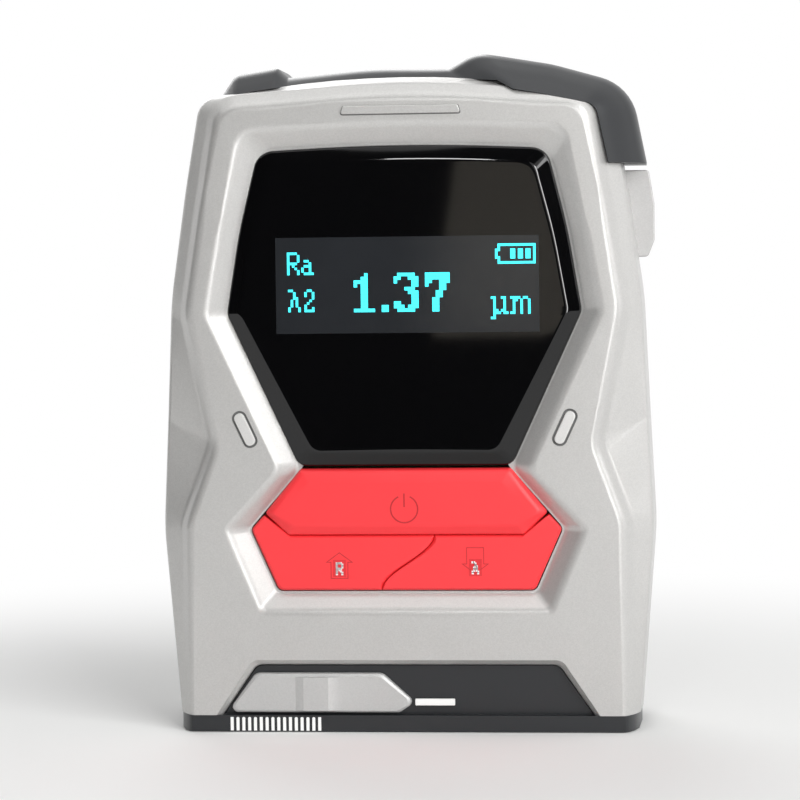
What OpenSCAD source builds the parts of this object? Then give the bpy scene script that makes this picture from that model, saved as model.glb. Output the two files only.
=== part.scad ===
// Pocket surface roughness tester standing on its measuring foot.
// The front faces -Y, up is +Z, and the origin is the middle of the underside.

/* [Housing] */
// Width over the swell of the grips
body_w = 74; // [72:0.5:82]
// Height to the crest of the top bumper
body_h = 100; // [98:0.5:112]
// Depth from the raised bar on the front to the back
body_d = 25.4; // [24.8:0.2:30]
// Wall of the two shells
wall = 2.2; // [1.6:0.1:2.6]
// Height of the foot under the shells
foot_h = 2.4; // [2.2:0.1:3]
// Distance of the parting line in front of mid depth
parting_fwd = 1; // [0:0.25:2]
// How far the face edge lies in from the widest side
face_margin = 4.9; // [4:0.1:6]
// How much deeper the finger scoops cut into the face
scoop = 4.2; // [2:0.2:5]
// Depth of the sloped recess round window and keys
recess_depth = 1.9; // [1.6:0.1:2.2]
// Width of the slope from the face down to the window
recess_slope = 3; // [2:0.1:3.4]
// Radius of the crown along the top edge
crown_r = 150; // [120:5:220]

/* [Window and keys] */
// Widest half width of the window
window_half = 26.2; // [24:0.1:26.4]
// Half width of the window at its top corners
window_top_half = 21.3; // [18:0.1:22]
// Half width of the window at its lower edge
window_low_half = 15.8; // [13:0.1:16]
// Width of the bevel round the window
window_bevel = 2.1; // [1:0.1:2.6]
// Lower edge of the keys
keys_low = 20.9; // [20:0.1:22]
// Height of the keypad's outer tips
keys_tip = 29.9; // [29:0.1:31]
// Upper edge of the keys
keys_top = 38.7; // [38:0.1:40]
// Half width of the keypad at its outer tips
keys_half = 22.9; // [21:0.1:23.4]
// Gap round each key
key_gap = 0.25; // [0.2:0.05:0.4]
// Travel of a key
key_travel = 0.7; // [0.4:0.1:0.8]

/* [Probe door] */
// Travel of the door
door_travel = 16; // [15:0.5:18]
// Length of the probe window in the foot
probe_window_l = 14.4; // [13:0.2:15]
// Width of the probe window in the foot
probe_window_w = 7; // [6:0.2:7.4]
// Thickness of the door plate
door_plate_t = 0.5; // [0.4:0.05:0.6]
// Thickness of the foot's sole under the door plate
sole_t = 0.8; // [0.6:0.05:0.9]
// Running gap of the sliding pieces
slide_gap = 0.15; // [0.1:0.01:0.2]

/* [Traverse] */
// Diameter of the guide rods
rod_d = 2; // [1.6:0.1:2.2]
// Diameter of the lead screw
screw_d = 3; // [2.4:0.1:3.2]
// Diameter of the drive motor
motor_d = 9.4; // [8:0.1:9.6]
// Length of the drive motor
motor_l = 17; // [14:0.5:18]
// Length of the carriage block
carriage_l = 10; // [8:0.5:10]
// Travel of the carriage
traverse = 6; // [4:0.5:6]
// Diameter of the pickup tube
pickup_d = 4.4; // [4:0.1:4.6]
// Clearance of turning and sliding pins, on the diameter
pin_gap = 0.3; // [0.2:0.05:0.4]

/* [Electronics] */
// Thickness of the main board
board_t = 1.6; // [1:0.1:1.8]
// Half width of the main board
board_half = 25; // [22:0.5:25]
// Thickness of the battery
battery_t = 6; // [4:0.25:6.5]
// Width of the battery
battery_w = 36; // [30:1:40]
// Height of the battery
battery_h = 44; // [36:1:46]
// Half width of the lit panel
panel_half = 21; // [19:0.5:21.5]
// Height of the lit panel
panel_h = 20; // [16:0.5:22]

/* [Hidden] */
$fn = 48;

// Colours as seen in the photo
silver = "#C9C9C8";
black = "#3C3E41";
key_red = "#F0383E";
inner_grey = "#7C8084";
steel = "#B4B8BC";

// Planes from front to back
bar_rise = 0.4;
front_y = -body_d / 2 + bar_rise;
back_y = body_d / 2;
parting_y = -parting_fwd;
edge_y = front_y + 0.35;
band_y = front_y + 1.9;
side_y = front_y + 4;
floor_y = front_y + recess_depth;
front_wall = 3.1;
inner_y = front_y + front_wall;
back_inner_y = back_y - wall;
overcut = 1;

// Levels from the foot to the crest
bumper_rise = 2.6;
crown_z = body_h - bumper_rise;
face_top_z = crown_z - 3.8;
window_top_z = face_top_z - 7.6;
window_wide_z = window_top_z - 24.2;
window_low_z = keys_top + 0.5;
swell_z = 30;
waist_z = 42.5;
brow_z = 62;
shoulder_drop = 3.2;
face_drop = 1.6;
body_mid = [0, (face_top_z + foot_h) / 2];

// Half widths of the housing
half_w = body_w / 2;
foot_half = half_w - 2.5;
side_mid = half_w - 1.7;
side_top = half_w - 6.4;
face_low = half_w - face_margin;
face_waist = face_low - scoop;
face_top = half_w - 10.2;

// Half widths given for the drawn body move out and in with its sides
drawn_w = 74;
spread = (body_w - drawn_w) / 2;
pane_half = window_half + spread;
pane_top_half = window_top_half + spread;
pane_swell = 0.45;
pane_mid_half = (pane_half + pane_top_half) / 2 + pane_swell;
window_arch = 0.7;
window_mid_z = (window_wide_z + window_top_z) / 2;
pane_low_half = window_low_half + spread;
keypad_half = keys_half + spread;
main_board_half = board_half + spread;
lit_half = panel_half + spread;

// Points of a corner-rounded outline; each vertex is [x, z, radius]
arc_steps = 6;
function unit(v) = v / norm(v);
function turn(a, b) = (b - a + 540) % 360 - 180;
function corner(p, q, s, n) =
    let (
        a = unit([p[0] - q[0], p[1] - q[1]]),
        b = unit([s[0] - q[0], s[1] - q[1]]),
        half = acos(a * b) / 2,
        reach = q[2] / tan(half),
        c = [q[0], q[1]] + unit(a + b) * q[2] / sin(half),
        from = [q[0], q[1]] + a * reach - c,
        to = [q[0], q[1]] + b * reach - c,
        start = atan2(from[1], from[0]),
        sweep = turn(start, atan2(to[1], to[0]))
    )
    [for (k = [0:n]) c + q[2] * [cos(start + sweep * k / n), sin(start + sweep * k / n)]];
function rounded(v, n = arc_steps) =
    let (m = len(v))
    [for (i = [0:m - 1]) each corner(v[(i + m - 1) % m], v[i], v[(i + 1) % m], n)];
function mirrored(h) = concat(h,
    [for (i = [len(h) - 1:-1:0]) if (h[i][0] > 0) [-h[i][0], h[i][1], h[i][2]]]);
// Height that a crown of radius crown_r loses between its vertex and its arc
function crown_loss(half, drop) = crown_r * (1 / cos(atan2(drop, half)) - 1);

// Closed solid through outlines at rising depth; its ends run on straight and are cut flat
module loft(outlines, depths, mid) {
    rings = concat([outlines[0]], outlines, [outlines[len(outlines) - 1]]);
    first = depths[0];
    final = depths[len(depths) - 1];
    ys = concat([first - overcut], depths, [final + overcut]);
    n = len(rings[0]);
    m = len(rings);
    points = concat(
        [for (i = [0:m - 1]) for (p = rings[i]) [p[0], ys[i], p[1]]],
        [[mid[0], ys[0], mid[1]], [mid[0], ys[m - 1], mid[1]]]);
    sides = [for (i = [0:m - 2]) for (j = [0:n - 1])
        let (a = i * n + j, b = i * n + (j + 1) % n)
        each [[a, b, b + n], [a, b + n, a + n]]];
    ends = [for (j = [0:n - 1])
        let (k = (j + 1) % n, last = (m - 1) * n)
        each [[m * n, k, j], [m * n + 1, last + j, last + k]]];
    intersection() {
        polyhedron(points, concat(sides, ends));
        block([-body_h, first, -body_h], [body_h, final, 2 * body_h]);
    }
}

// Prism of an outline in the XZ plane between two depths
module slab(outline, y0, y1) {
    translate([0, y1, 0]) rotate([90, 0, 0])
        linear_extrude(y1 - y0) polygon([for (p = outline) [p[0], p[1]]]);
}

// Box between two corners
module block(low, high) {
    translate(low) cube(high - low);
}

// Rods along X, Y and Z, from a starting point
module rod_x(d, p, l) {
    translate(p) rotate([0, 90, 0]) cylinder(d = d, h = l);
}
module rod_y(d, p, l) {
    translate(p) rotate([-90, 0, 0]) cylinder(d = d, h = l);
}
module rod_z(d, p, l) {
    translate(p) cylinder(d = d, h = l);
}

// Outline of the flat front face, hourglass at the finger grips
function face_outline(grow, top = 0) = rounded(mirrored([
    [face_low + grow, 0, 0.3],
    [face_low + grow, swell_z + 1, 7],
    [face_waist + grow, waist_z, 6],
    [face_low - 0.2 + grow, brow_z, 9],
    [face_top + grow, face_top_z - face_drop + top, 3.5 + grow],
    [0, face_top_z + top + crown_loss(face_top, face_drop), crown_r]]));

// Outline of the housing's side walls, set in by a distance
function side_outline(inset, top = 0) = rounded(mirrored([
    [foot_half - inset, 0, 0.3],
    [half_w - 0.1 - inset, swell_z, 40],
    [half_w - 0.9 - inset, (swell_z + brow_z) / 2, 60],
    [side_mid - inset, brow_z + 2, 60],
    [side_top - inset, crown_z - shoulder_drop - inset - top, max(4 - inset, 0.8)],
    [0, crown_z - inset - top + crown_loss(side_top, shoulder_drop), crown_r]]));

// Outlines of window, recess, keypad and the cut-out over the foot
function window_outline(inset) = rounded(mirrored([
    [pane_low_half - inset, window_low_z + inset, 2],
    [pane_half - inset, window_wide_z, 2.5],
    [pane_mid_half - inset, window_mid_z, 80],
    [pane_top_half - inset, window_top_z - 0.4 - inset, 3],
    [0, window_top_z + window_arch - inset, 300]]));
function window_recess(grow) = rounded(mirrored([
    [pane_low_half + grow * 0.6, window_low_z - grow * 0.7, 2],
    [pane_half + grow * 0.9, window_wide_z, 2.5],
    [pane_mid_half + grow * 0.85, window_mid_z, 80],
    [pane_top_half + grow * 0.8, window_top_z - 0.4 + grow, 3],
    [0, window_top_z + window_arch + grow, 300]]));
function keypad_outline(grow) = rounded(mirrored([
    [keypad_half - 4 + grow * 0.75, keys_low - grow, 1.2],
    [keypad_half + grow * 1.15, keys_tip, 1],
    [keypad_half - 7.4 + grow * 0.5, keys_top + grow * 0.4, 0.6]]));
keypad_recess_top = 7;
function keypad_recess(grow) = rounded(mirrored([
    [keypad_half - 4 + grow * 0.85, keys_low - grow, 1.2],
    [keypad_half + grow * 1.15, keys_tip, 1.2],
    [keypad_half - 11 + grow * 0.9, keys_top + keypad_recess_top - 3, 0.6]]));
cutout_top_z = 9.8;
cutout_half = 22.4 + spread;
cutout_flare = 0.69;
function cutout_outline(grow) = rounded(mirrored([
    [cutout_half + cutout_flare * (cutout_top_z - 0.4) + grow, 0.4, 0.2],
    [cutout_half + grow * 0.6, cutout_top_z + grow, 1.8]]));

// Crest and front edge of the top bumper, right to left, and the line it seats on
crest_z = body_h;
lug_right_end = 83.3;
bumper_low = 74;
bumper_front_y = front_y + 0.6;
bumper_crest_y = front_y + 7;
bumper_back_y = back_y - 6;
bumper_seat = 1.2;
bumper_mid = [4, crown_z - 16];
bumper_left = -20 - spread;
bumper_right = 28 + spread;
notch_right = 6.6 + spread;
notch_left = -17.3 - spread;
lug_left_end = -27.2 - spread;
function top_at(x) = crown_z - shoulder_drop * pow(x / side_top, 2);
bumper_crest = rounded([
    [bumper_left, bumper_low, 0.5], [bumper_right, bumper_low, 0.5],
    [half_w - 1.2, lug_right_end, 0.5], [side_top + 2.9, crown_z - 2.6, 7.5],
    [22 + spread, crest_z - 1.9, 24], [14.5 + spread, crest_z - 0.6, 14],
    [notch_right + 4, crest_z + 0.03, 0.8],
    [notch_right, top_at(notch_right) + 0.4, 0.8], [-5, crown_z + 0.5, 60],
    [notch_left, top_at(notch_left) + 0.4, 0.4], [notch_left - 1.7, crown_z + 0.9, 0.8],
    [lug_left_end + 1.9, crown_z - 0.1, 1.4], [lug_left_end, top_at(lug_left_end) - 0.4, 0.4]]);
bumper_front = rounded([
    [bumper_left, bumper_low, 0.5], [bumper_right, bumper_low, 0.5],
    [side_top - 1.3, lug_right_end, 0.5], [face_top + 0.9, face_top_z - 2.2, 2.6],
    [24 + spread, face_top_z - 1.1, 10], [20.4 + spread, face_top_z - 0.35, 8],
    [16.8 + spread, face_top_z + 0.3, 1], [15 + spread, face_top_z - 2, 1], [-5, face_top_z - 1.6, 60],
    [notch_left, face_top_z - 2, 4], [notch_left - 1.7, face_top_z - 2.2, 10],
    [-24 - spread, face_top_z - 3, 1], [-25.4 - spread, face_top_z - 4.2, 0.4]]);
// Line along which the shell's face meets the corner lug; the shell stops a hair short of it
bumper_gap = 0.06;
lug_line = concat([[16.4 + spread, face_top_z + 0.55], [20.4 + spread, face_top_z - 0.15]],
    corner([20.4 + spread, face_top_z - 0.15], [face_top + 1.6, face_top_z - 1.8, 2.2],
    [side_top - 0.4, lug_right_end], arc_steps), [[side_top - 0.4, lug_right_end]]);
step_top = [14.2 + spread, crown_z];
corner_cut = concat([for (p = lug_line) p - [bumper_gap, bumper_gap]],
    [[half_w + 5, lug_right_end - bumper_gap], [half_w + 5, body_h + 5], [step_top[0], body_h + 5],
    step_top]);
seat_front = concat([[15.45 + spread, face_top_z + 1.85]], lug_line,
    [[side_top - 0.4, bumper_low - 2], [15.45 + spread, bumper_low - 2]]);
seat_lap = 0.3;
seat_start = -side_top - 4;
seat_steps = 12;
seat_end = 14 + spread;
seat_line = [for (k = [0:seat_steps])
    let (x = seat_start + k * (seat_end - seat_start) / seat_steps)
    [x, top_at(x) - bumper_seat]];
seat_corner = corner([16.2 + spread, face_top_z - 2.2], [face_top + 0.2, face_top_z - 2.7, 2.6],
    [side_top - 1.2, lug_right_end], arc_steps);
seat_cut = concat(seat_line, [[14.3 + spread, face_top_z - 0.6], [16.2 + spread, face_top_z - 2.2]],
    seat_corner, [[side_top - 1.2, lug_right_end], [side_top - 1.2, bumper_low - 2],
    [seat_start, bumper_low - 2]]);
// Outline half way from front to crest, set further forward so that the lugs swell
bumper_swell = (bumper_front + bumper_crest) / 2;
bumper_swell_y = bumper_front_y + (bumper_crest_y - bumper_front_y) * 0.36;
module bumper_blank() {
    difference() {
        loft([bumper_front, bumper_swell, bumper_crest, bumper_crest],
            [bumper_front_y, bumper_swell_y, bumper_crest_y, bumper_back_y], bumper_mid);
        slab(seat_front, front_y - overcut, inner_y + seat_lap);
        slab(seat_cut, front_y - overcut, back_y + overcut);
        block([-half_w, front_y - overcut, bumper_low - overcut], [half_w, back_y, lug_right_end]);
    }
}

// Outlines and depths that the two shells are lofted through
front_rings = [face_outline(0), face_outline(0.45, 0.4), face_outline(1.3, 1.8),
    side_outline(0.45, 0.15), side_outline(0)];
front_ys = [front_y, edge_y, band_y, side_y, parting_y];
back_insets = [0, 0.2, 1.4, 3, 4.6];
back_ys = [parting_y, back_y - 5.5, back_y - 2, back_y - 0.6, back_y];
back_rings = [for (i = back_insets) side_outline(i)];
foot_edge = concat(
    [[face_low, front_y], [face_low + 0.45, edge_y], [face_low + 1.3, band_y],
        [foot_half - 0.45, side_y]],
    [for (i = [0:len(back_ys) - 1]) [foot_half - back_insets[i], back_ys[i]]]);
foot_plan = concat(foot_edge,
    [for (i = [len(foot_edge) - 1:-1:0]) [-foot_edge[i][0], foot_edge[i][1]]]);

// Screw posts that join the shells, carry the board and hold the foot
case_posts = [for (s = [-1, 1])
    each [[s * (half_w - 8.5), 26], [s * (side_top - 5.1), crown_z - 10.9]]];
case_post_d = 5.5;
post_root = 0.8;
case_screw_d = 2;
case_head_d = 4.4;
case_head_y = back_y - 3;
case_head_l = 1.7;
screw_gap = 0.1;
well_gap = 0.6;
board_posts = [for (s = [-1, 1])
    each [[s * (main_board_half - 3), 17.5], [s * (18.5 + spread), window_top_z + 1.6]]];
board_post_d = 4;
board_screw_d = 1.6;
board_y = inner_y + 3.2;
board_back_y = board_y + board_t;
foot_posts = [for (s = [-1, 1]) [s * (half_w - 6.4), front_y + 5.3]];
foot_post_h = 7;
foot_screw_d = 1.8;
foot_head_d = 3.8;
foot_head_l = 0.8;

// Charging socket in the left side
socket_z = 50;
socket_w = 7.6;
socket_t = 3.4;
socket_gap = 0.2;
socket_out = half_w - 1.6;
socket_in = half_w - 8.5;
module socket_cut() {
    block([-half_w - overcut, board_back_y - socket_gap, socket_z - socket_w / 2 - socket_gap],
        [-socket_in, board_back_y + socket_t + socket_gap, socket_z + socket_w / 2 + socket_gap]);
}

// Raised bar under the crown and the two slanted pills
bar_half = 8.8;
bar_h = 1.2;
bar_drop = 2.2;

module raised_bar(grow, y0, y1) {
    z = face_top_z - bar_drop;
    h = bar_h / 2 + grow;
    slab(rounded([[-bar_half - grow, z - h, 0.3], [bar_half + grow, z - h, 0.3],
        [bar_half + grow - 0.4, z + h, 0.3], [-bar_half - grow + 0.4, z + h, 0.3]]), y0, y1);
}
pill_mid = [23.55 + spread, 45.05];
pill_l = 5;
pill_w = 1.7;
pill_lean = 22;
pill_groove = 0.45;
module pill(side, grow, y0, y1) {
    l = pill_l / 2 + grow;
    w = pill_w / 2 + grow;
    translate([side * pill_mid[0], 0, pill_mid[1]]) rotate([0, side * pill_lean, 0])
        slab(rounded([[-w, -l, w - 0.05], [w, -l, w - 0.05],
            [w, l, w - 0.05], [-w, l, w - 0.05]]), y0, y1);
}

module front_shell() {
    color(silver) difference() {
        union() {
            difference() {
                loft(front_rings, front_ys, body_mid);
                loft([face_outline(-1.6, -1.2), side_outline(wall + 0.6), side_outline(wall)],
                    [inner_y, inner_y + 2.6, parting_y + overcut], body_mid);
                slab(corner_cut, front_y - overcut, parting_y + overcut);
                loft([window_recess(recess_slope * 1.3), window_recess(0.12)],
                    [front_y - recess_depth * 0.3, floor_y], [0, window_wide_z]);
                loft([keypad_recess(recess_slope * 1.3), keypad_recess(0.6)],
                    [front_y - recess_depth * 0.3, floor_y], [0, keys_tip]);
                for (s = [-1, 1]) pill(s, pill_groove, front_y - overcut, front_y + 0.3);
            }
            for (p = case_posts)
                rod_y(case_post_d, [p[0], inner_y - post_root, p[1]], parting_y - inner_y + post_root);
            for (p = board_posts)
                rod_y(board_post_d, [p[0], inner_y - post_root, p[1]], board_y - inner_y + post_root);
            for (p = foot_posts)
                rod_z(board_post_d, [p[0], p[1], foot_h], foot_post_h);
            raised_bar(0, front_y - bar_rise, front_y + overcut);
            for (s = [-1, 1]) pill(s, 0, front_y - 0.2, front_y + overcut);
        }
        block([-half_w - overcut, front_y - overcut, -overcut],
            [half_w + overcut, back_y, foot_h]);
        slab(window_outline(1.6), front_y, inner_y + overcut);
        slab(keypad_outline(key_gap), front_y, inner_y + overcut);
        slab(cutout_outline(0), front_y - overcut, inner_y + overcut);
        loft([cutout_outline(1.2), cutout_outline(0)],
            [front_y - 0.4, front_y + 0.9], [0, foot_h]);
        bumper_blank();
        socket_cut();
        for (p = case_posts)
            rod_y(case_screw_d + screw_gap, [p[0], inner_y + 1.2, p[1]], body_d);
        for (p = board_posts)
            rod_y(board_screw_d + screw_gap, [p[0], inner_y - 0.4, p[1]], body_d / 2);
        for (p = foot_posts)
            rod_z(foot_screw_d + screw_gap, [p[0], p[1], foot_h - overcut], foot_post_h);
    }
}

// Lug on the right side of the back shell and the ribs round the battery
lug_low = 69.5;
lug_high = lug_right_end - 0.9;
lug_out = half_w - 0.15;
lug = [[half_w - 5, lug_low], [lug_out - 1, lug_low], [lug_out, lug_low + 2.5],
    [lug_out, lug_high - 5], [lug_out - 0.8, lug_high], [half_w - 5.5, lug_high]];
lug_back_y = back_y - 6.5;
battery_z = 38;
battery_gap = 0.2;
tray_wall = 1.2;
tray_h = 3.5;
module battery_box(grow, y0, y1) {
    w = battery_w / 2 + grow;
    slab(rounded([[-w, battery_z - grow, 1.5], [w, battery_z - grow, 1.5],
        [w, battery_z + battery_h + grow, 1.5], [-w, battery_z + battery_h + grow, 1.5]]), y0, y1);
}
module back_shell() {
    color(silver) difference() {
        union() {
            difference() {
                union() {
                    loft(back_rings, back_ys, body_mid);
                    slab(lug, parting_y, lug_back_y);
                }
                loft([side_outline(wall), side_outline(wall + 0.4), side_outline(wall + 2.4)],
                    [parting_y - overcut, back_y - 4.2, back_inner_y], body_mid);
            }
            for (p = case_posts)
                rod_y(case_post_d + 1.5, [p[0], parting_y, p[1]], back_inner_y - parting_y + 0.5);
            difference() {
                battery_box(battery_gap + tray_wall, back_inner_y - tray_h, back_inner_y + 0.5);
                battery_box(battery_gap, back_inner_y - tray_h - overcut, back_inner_y);
            }
        }
        block([-half_w - overcut, front_y, -overcut],
            [half_w + overcut, back_y + overcut, foot_h]);
        bumper_blank();
        socket_cut();
        for (p = case_posts) {
            rod_y(case_screw_d + well_gap, [p[0], parting_y - overcut, p[1]], body_d);
            rod_y(case_head_d + well_gap, [p[0], case_head_y, p[1]], body_d / 2);
        }
    }
}

module top_bumper() {
    color(black) bumper_blank();
}

// Sliding door: grip on the front, plate over the probe window, web through the slot
pad_y = front_y + 1.6;
upright_t = 1.7;
upright_gap = 0.1;
upright_top = 12;
grip_back_y = pad_y - slide_gap;
grip_front_y = front_y + 0.6;
rib_y = front_y + 0.12;
plate_half = probe_window_w / 2 + 1.1;
plate_low = sole_t + 0.1;
plate_high = plate_low + door_plate_t;
probe_x0 = -(half_w - 8.7);
probe_x1 = probe_x0 + probe_window_l;
plate_x0 = probe_x0 - 0.7;
plate_x1 = probe_x1 + 0.9;
grip_left = cutout_half + 4.5;
web_x0 = -grip_left + 1.6;
web_x1 = web_x0 + 7.8;
web_low = foot_h + 0.4;
web_t = 0.7;
riser_y = inner_y + 2.4;
riser_t = 0.7;

module foot() {
    color(black) difference() {
        union() {
            linear_extrude(foot_h) polygon(foot_plan);
            slab(cutout_outline(-slide_gap), pad_y, inner_y + upright_gap);
            block([-cutout_half - 4, inner_y + upright_gap, foot_h / 2],
                [cutout_half + 4, inner_y + upright_gap + upright_t, upright_top]);
        }
        block([plate_x0 - 0.3, -plate_half - slide_gap, sole_t],
            [plate_x1 + door_travel + 0.3, plate_half + slide_gap, foot_h + overcut]);
        block([web_x0 - slide_gap, riser_y - 0.3, sole_t],
            [web_x1 + door_travel + slide_gap, 0, foot_h + overcut]);
        block([web_x0 - slide_gap, front_y, web_low - slide_gap],
            [web_x1 + door_travel + slide_gap, riser_y, web_low + web_t + slide_gap]);
        block([probe_x0, -probe_window_w / 2, -overcut],
            [probe_x1, probe_window_w / 2, foot_h]);
        for (p = foot_posts) {
            rod_z(foot_screw_d + well_gap, [p[0], p[1], -overcut], foot_h + 2 * overcut);
            rod_z(foot_head_d + well_gap, [p[0], p[1], -overcut], overcut + foot_head_l + 0.1);
        }
        for (p = frame_points)
            rod_z(frame_screw_d + screw_gap, [p[0], p[1], sole_t], foot_h);
    }
}

// Outline of the grip, slanted at its right end like an arrow
grip_tip = 1.1;
grip_top = 8.6;
grip_mid_z = 4.25;
grip_low = foot_h + 0.3;
function grip_outline(inset) = rounded([
    [-grip_left + inset, grip_low + inset * 0.6, 0.8],
    [grip_tip - 2.3 - inset * 0.6, grip_low + inset * 0.6, 0.9],
    [grip_tip - inset, grip_mid_z, 0.8],
    [grip_tip - 4.8 - inset * 0.7, grip_top - inset, 1.6],
    [-cutout_half - 0.2 + inset * 0.7, grip_top - inset, 1.4]]);
rib_foot_y = grip_front_y + 0.1;
rib_section = [[-16.9, rib_foot_y], [-15.4, rib_y], [-11.7, rib_y], [-9, rib_foot_y]];
module door_grip() {
    color(silver) union() {
        loft([grip_outline(0.5), grip_outline(0.12), grip_outline(0), grip_outline(0)],
            [grip_front_y, grip_front_y + 0.15, grip_front_y + 0.5, grip_back_y], [-12, 5.5]);
        intersection() {
            linear_extrude(cutout_top_z) polygon(rib_section);
            slab(grip_outline(0.6), front_y, grip_back_y);
        }
    }
}
index_l = 5.9;
index_h = 1;
module door_index() {
    color("white") block([grip_tip, grip_front_y + 0.25, grip_mid_z - index_h / 2],
        [grip_tip + index_l, grip_back_y, grip_mid_z + index_h / 2]);
}
module door_plate() {
    color(steel) union() {
        block([plate_x0, -plate_half, plate_low], [plate_x1, plate_half, plate_high]);
        block([web_x0, riser_y, plate_low], [web_x1, -plate_half + 0.1, plate_high]);
        block([web_x0, riser_y, plate_low], [web_x1, riser_y + riser_t, web_low + web_t]);
        block([web_x0, grip_back_y, web_low], [web_x1, riser_y + riser_t, web_low + web_t]);
    }
}

module display_window() {
    color("#111214") loft([window_outline(window_bevel), window_outline(window_bevel * 0.86),
        window_outline(0.1), window_outline(0)],
        [front_y + 0.7, front_y + 0.75, floor_y - 0.5, floor_y], [0, window_wide_z]);
}
panel_z = window_wide_z + 4;
panel_t = 1.6;
module display_panel() {
    color("#1C2226") block([-lit_half, floor_y, panel_z - panel_h / 2],
        [lit_half, floor_y + panel_t, panel_z + panel_h / 2]);
}
holder_rim = 2;
module display_holder() {
    y0 = floor_y + panel_t;
    color(inner_grey) difference() {
        block([-lit_half, y0, panel_z - panel_h / 2],
            [lit_half, board_y, panel_z + panel_h / 2]);
        block([-lit_half + holder_rim, y0 - overcut, panel_z - panel_h / 2 + holder_rim],
            [lit_half - holder_rim, board_y + overcut, panel_z + panel_h / 2 - holder_rim]);
    }
}

// Main board with narrowed top corners and a tab for the charging socket
board_low = 14.8;
board_step = window_top_z - 4;
board_high = window_top_z + 4.2;
board_top_half = 21.5 + spread;
tab_half = 5;
module main_board() {
    color("#2E5A3C") difference() {
        slab([[-main_board_half, board_low], [main_board_half, board_low],
            [main_board_half, board_step], [board_top_half, board_step + 2],
            [board_top_half, board_high], [-board_top_half, board_high],
            [-board_top_half, board_step + 2], [-main_board_half, board_step],
            [-main_board_half, socket_z + tab_half], [-socket_in - 3, socket_z + tab_half],
            [-socket_in - 3, socket_z - tab_half], [-main_board_half, socket_z - tab_half]],
            board_y, board_back_y);
        for (p = board_posts)
            rod_y(board_screw_d + well_gap, [p[0], board_y - overcut, p[1]], board_t + 2 * overcut);
    }
}
module charge_socket() {
    shell_t = 0.4;
    tongue_half = 0.4;
    tongue_in = 1.6;
    low = [-socket_out, board_back_y, socket_z - socket_w / 2];
    high = [-socket_in, board_back_y + socket_t, socket_z + socket_w / 2];
    color(steel) union() {
        difference() {
            block(low, high);
            block(low + [-overcut, shell_t, shell_t], high - [1, shell_t, shell_t]);
        }
        block(low + [0.6, socket_t / 2 - tongue_half, tongue_in],
            [high[0] - 0.5, low[1] + socket_t / 2 + tongue_half, high[2] - tongue_in]);
    }
}
module battery() {
    color("#4A6FA5") battery_box(0, back_inner_y - battery_t, back_inner_y);
}

// Fasteners, with a cross recess in each head
cross_w = 0.5;
cross_depth = 0.5;
module screw_y(p, head_y, head_d, head_l, d, l) {
    arm = head_d * 0.32;
    top_y = head_y + head_l;
    difference() {
        union() {
            rod_y(head_d, [p[0], head_y, p[1]], head_l);
            rod_y(d, [p[0], head_y - l, p[1]], l + head_l / 2);
        }
        block([p[0] - arm, top_y - cross_depth, p[1] - cross_w / 2],
            [p[0] + arm, top_y + overcut, p[1] + cross_w / 2]);
        block([p[0] - cross_w / 2, top_y - cross_depth, p[1] - arm],
            [p[0] + cross_w / 2, top_y + overcut, p[1] + arm]);
    }
}
module case_screws() {
    color(steel) for (p = case_posts)
        screw_y(p, case_head_y, case_head_d, case_head_l, case_screw_d, case_head_y - inner_y - 1.6);
}
module board_screws() {
    color(steel) for (p = board_posts)
        screw_y(p, board_back_y, board_screw_d + 1.6, 0.9, board_screw_d, board_back_y - inner_y);
}
module foot_screws() {
    arm = foot_head_d * 0.32;
    low = 0.1;
    color(steel) for (p = foot_posts) difference() {
        union() {
            rod_z(foot_head_d, [p[0], p[1], low], foot_head_l);
            rod_z(foot_screw_d, [p[0], p[1], 2 * low], foot_h + foot_post_h - 2);
        }
        block([p[0] - arm, p[1] - cross_w / 2, -overcut],
            [p[0] + arm, p[1] + cross_w / 2, low + cross_depth]);
        block([p[0] - cross_w / 2, p[1] - arm, -overcut],
            [p[0] + cross_w / 2, p[1] + arm, low + cross_depth]);
    }
}

// Keys: one raised bar key above, two below it parted by an S-curve
key_front_y = front_y + 1.2;
power_front_y = front_y + 0.55;
key_back_y = inner_y + 0.9;
tab_y = inner_y + 0.2;
stem_d = 3;
stem_l = 0.25;
power_low = keys_tip - 0.8;
power_mid = (power_low + keys_top) / 2;
stem_side = 11;
stem_low_z = (keys_low + power_low) / 2;
function power_outline(inset, lip) = rounded(mirrored([
    [keypad_half - 5.5 - inset - lip * 0.5, power_low + inset + lip, 0.5],
    [keypad_half - 2.1 - inset * 1.3 - lip * 0.5, keys_tip + 2.4, 0.5],
    [keypad_half - 7.4 - inset * 0.6, keys_top - inset, 0.6]]), 3);
split_steps = 10;
split_low = -3.7;
split_high = 4.2;
function split_x(t) = split_low + (split_high - split_low) * (3 * t * t - 2 * t * t * t);
function split_line(low, high, shift) =
    [for (k = [0:split_steps]) let (t = k / split_steps) [split_x(t) + shift, low + (high - low) * t]];
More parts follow.
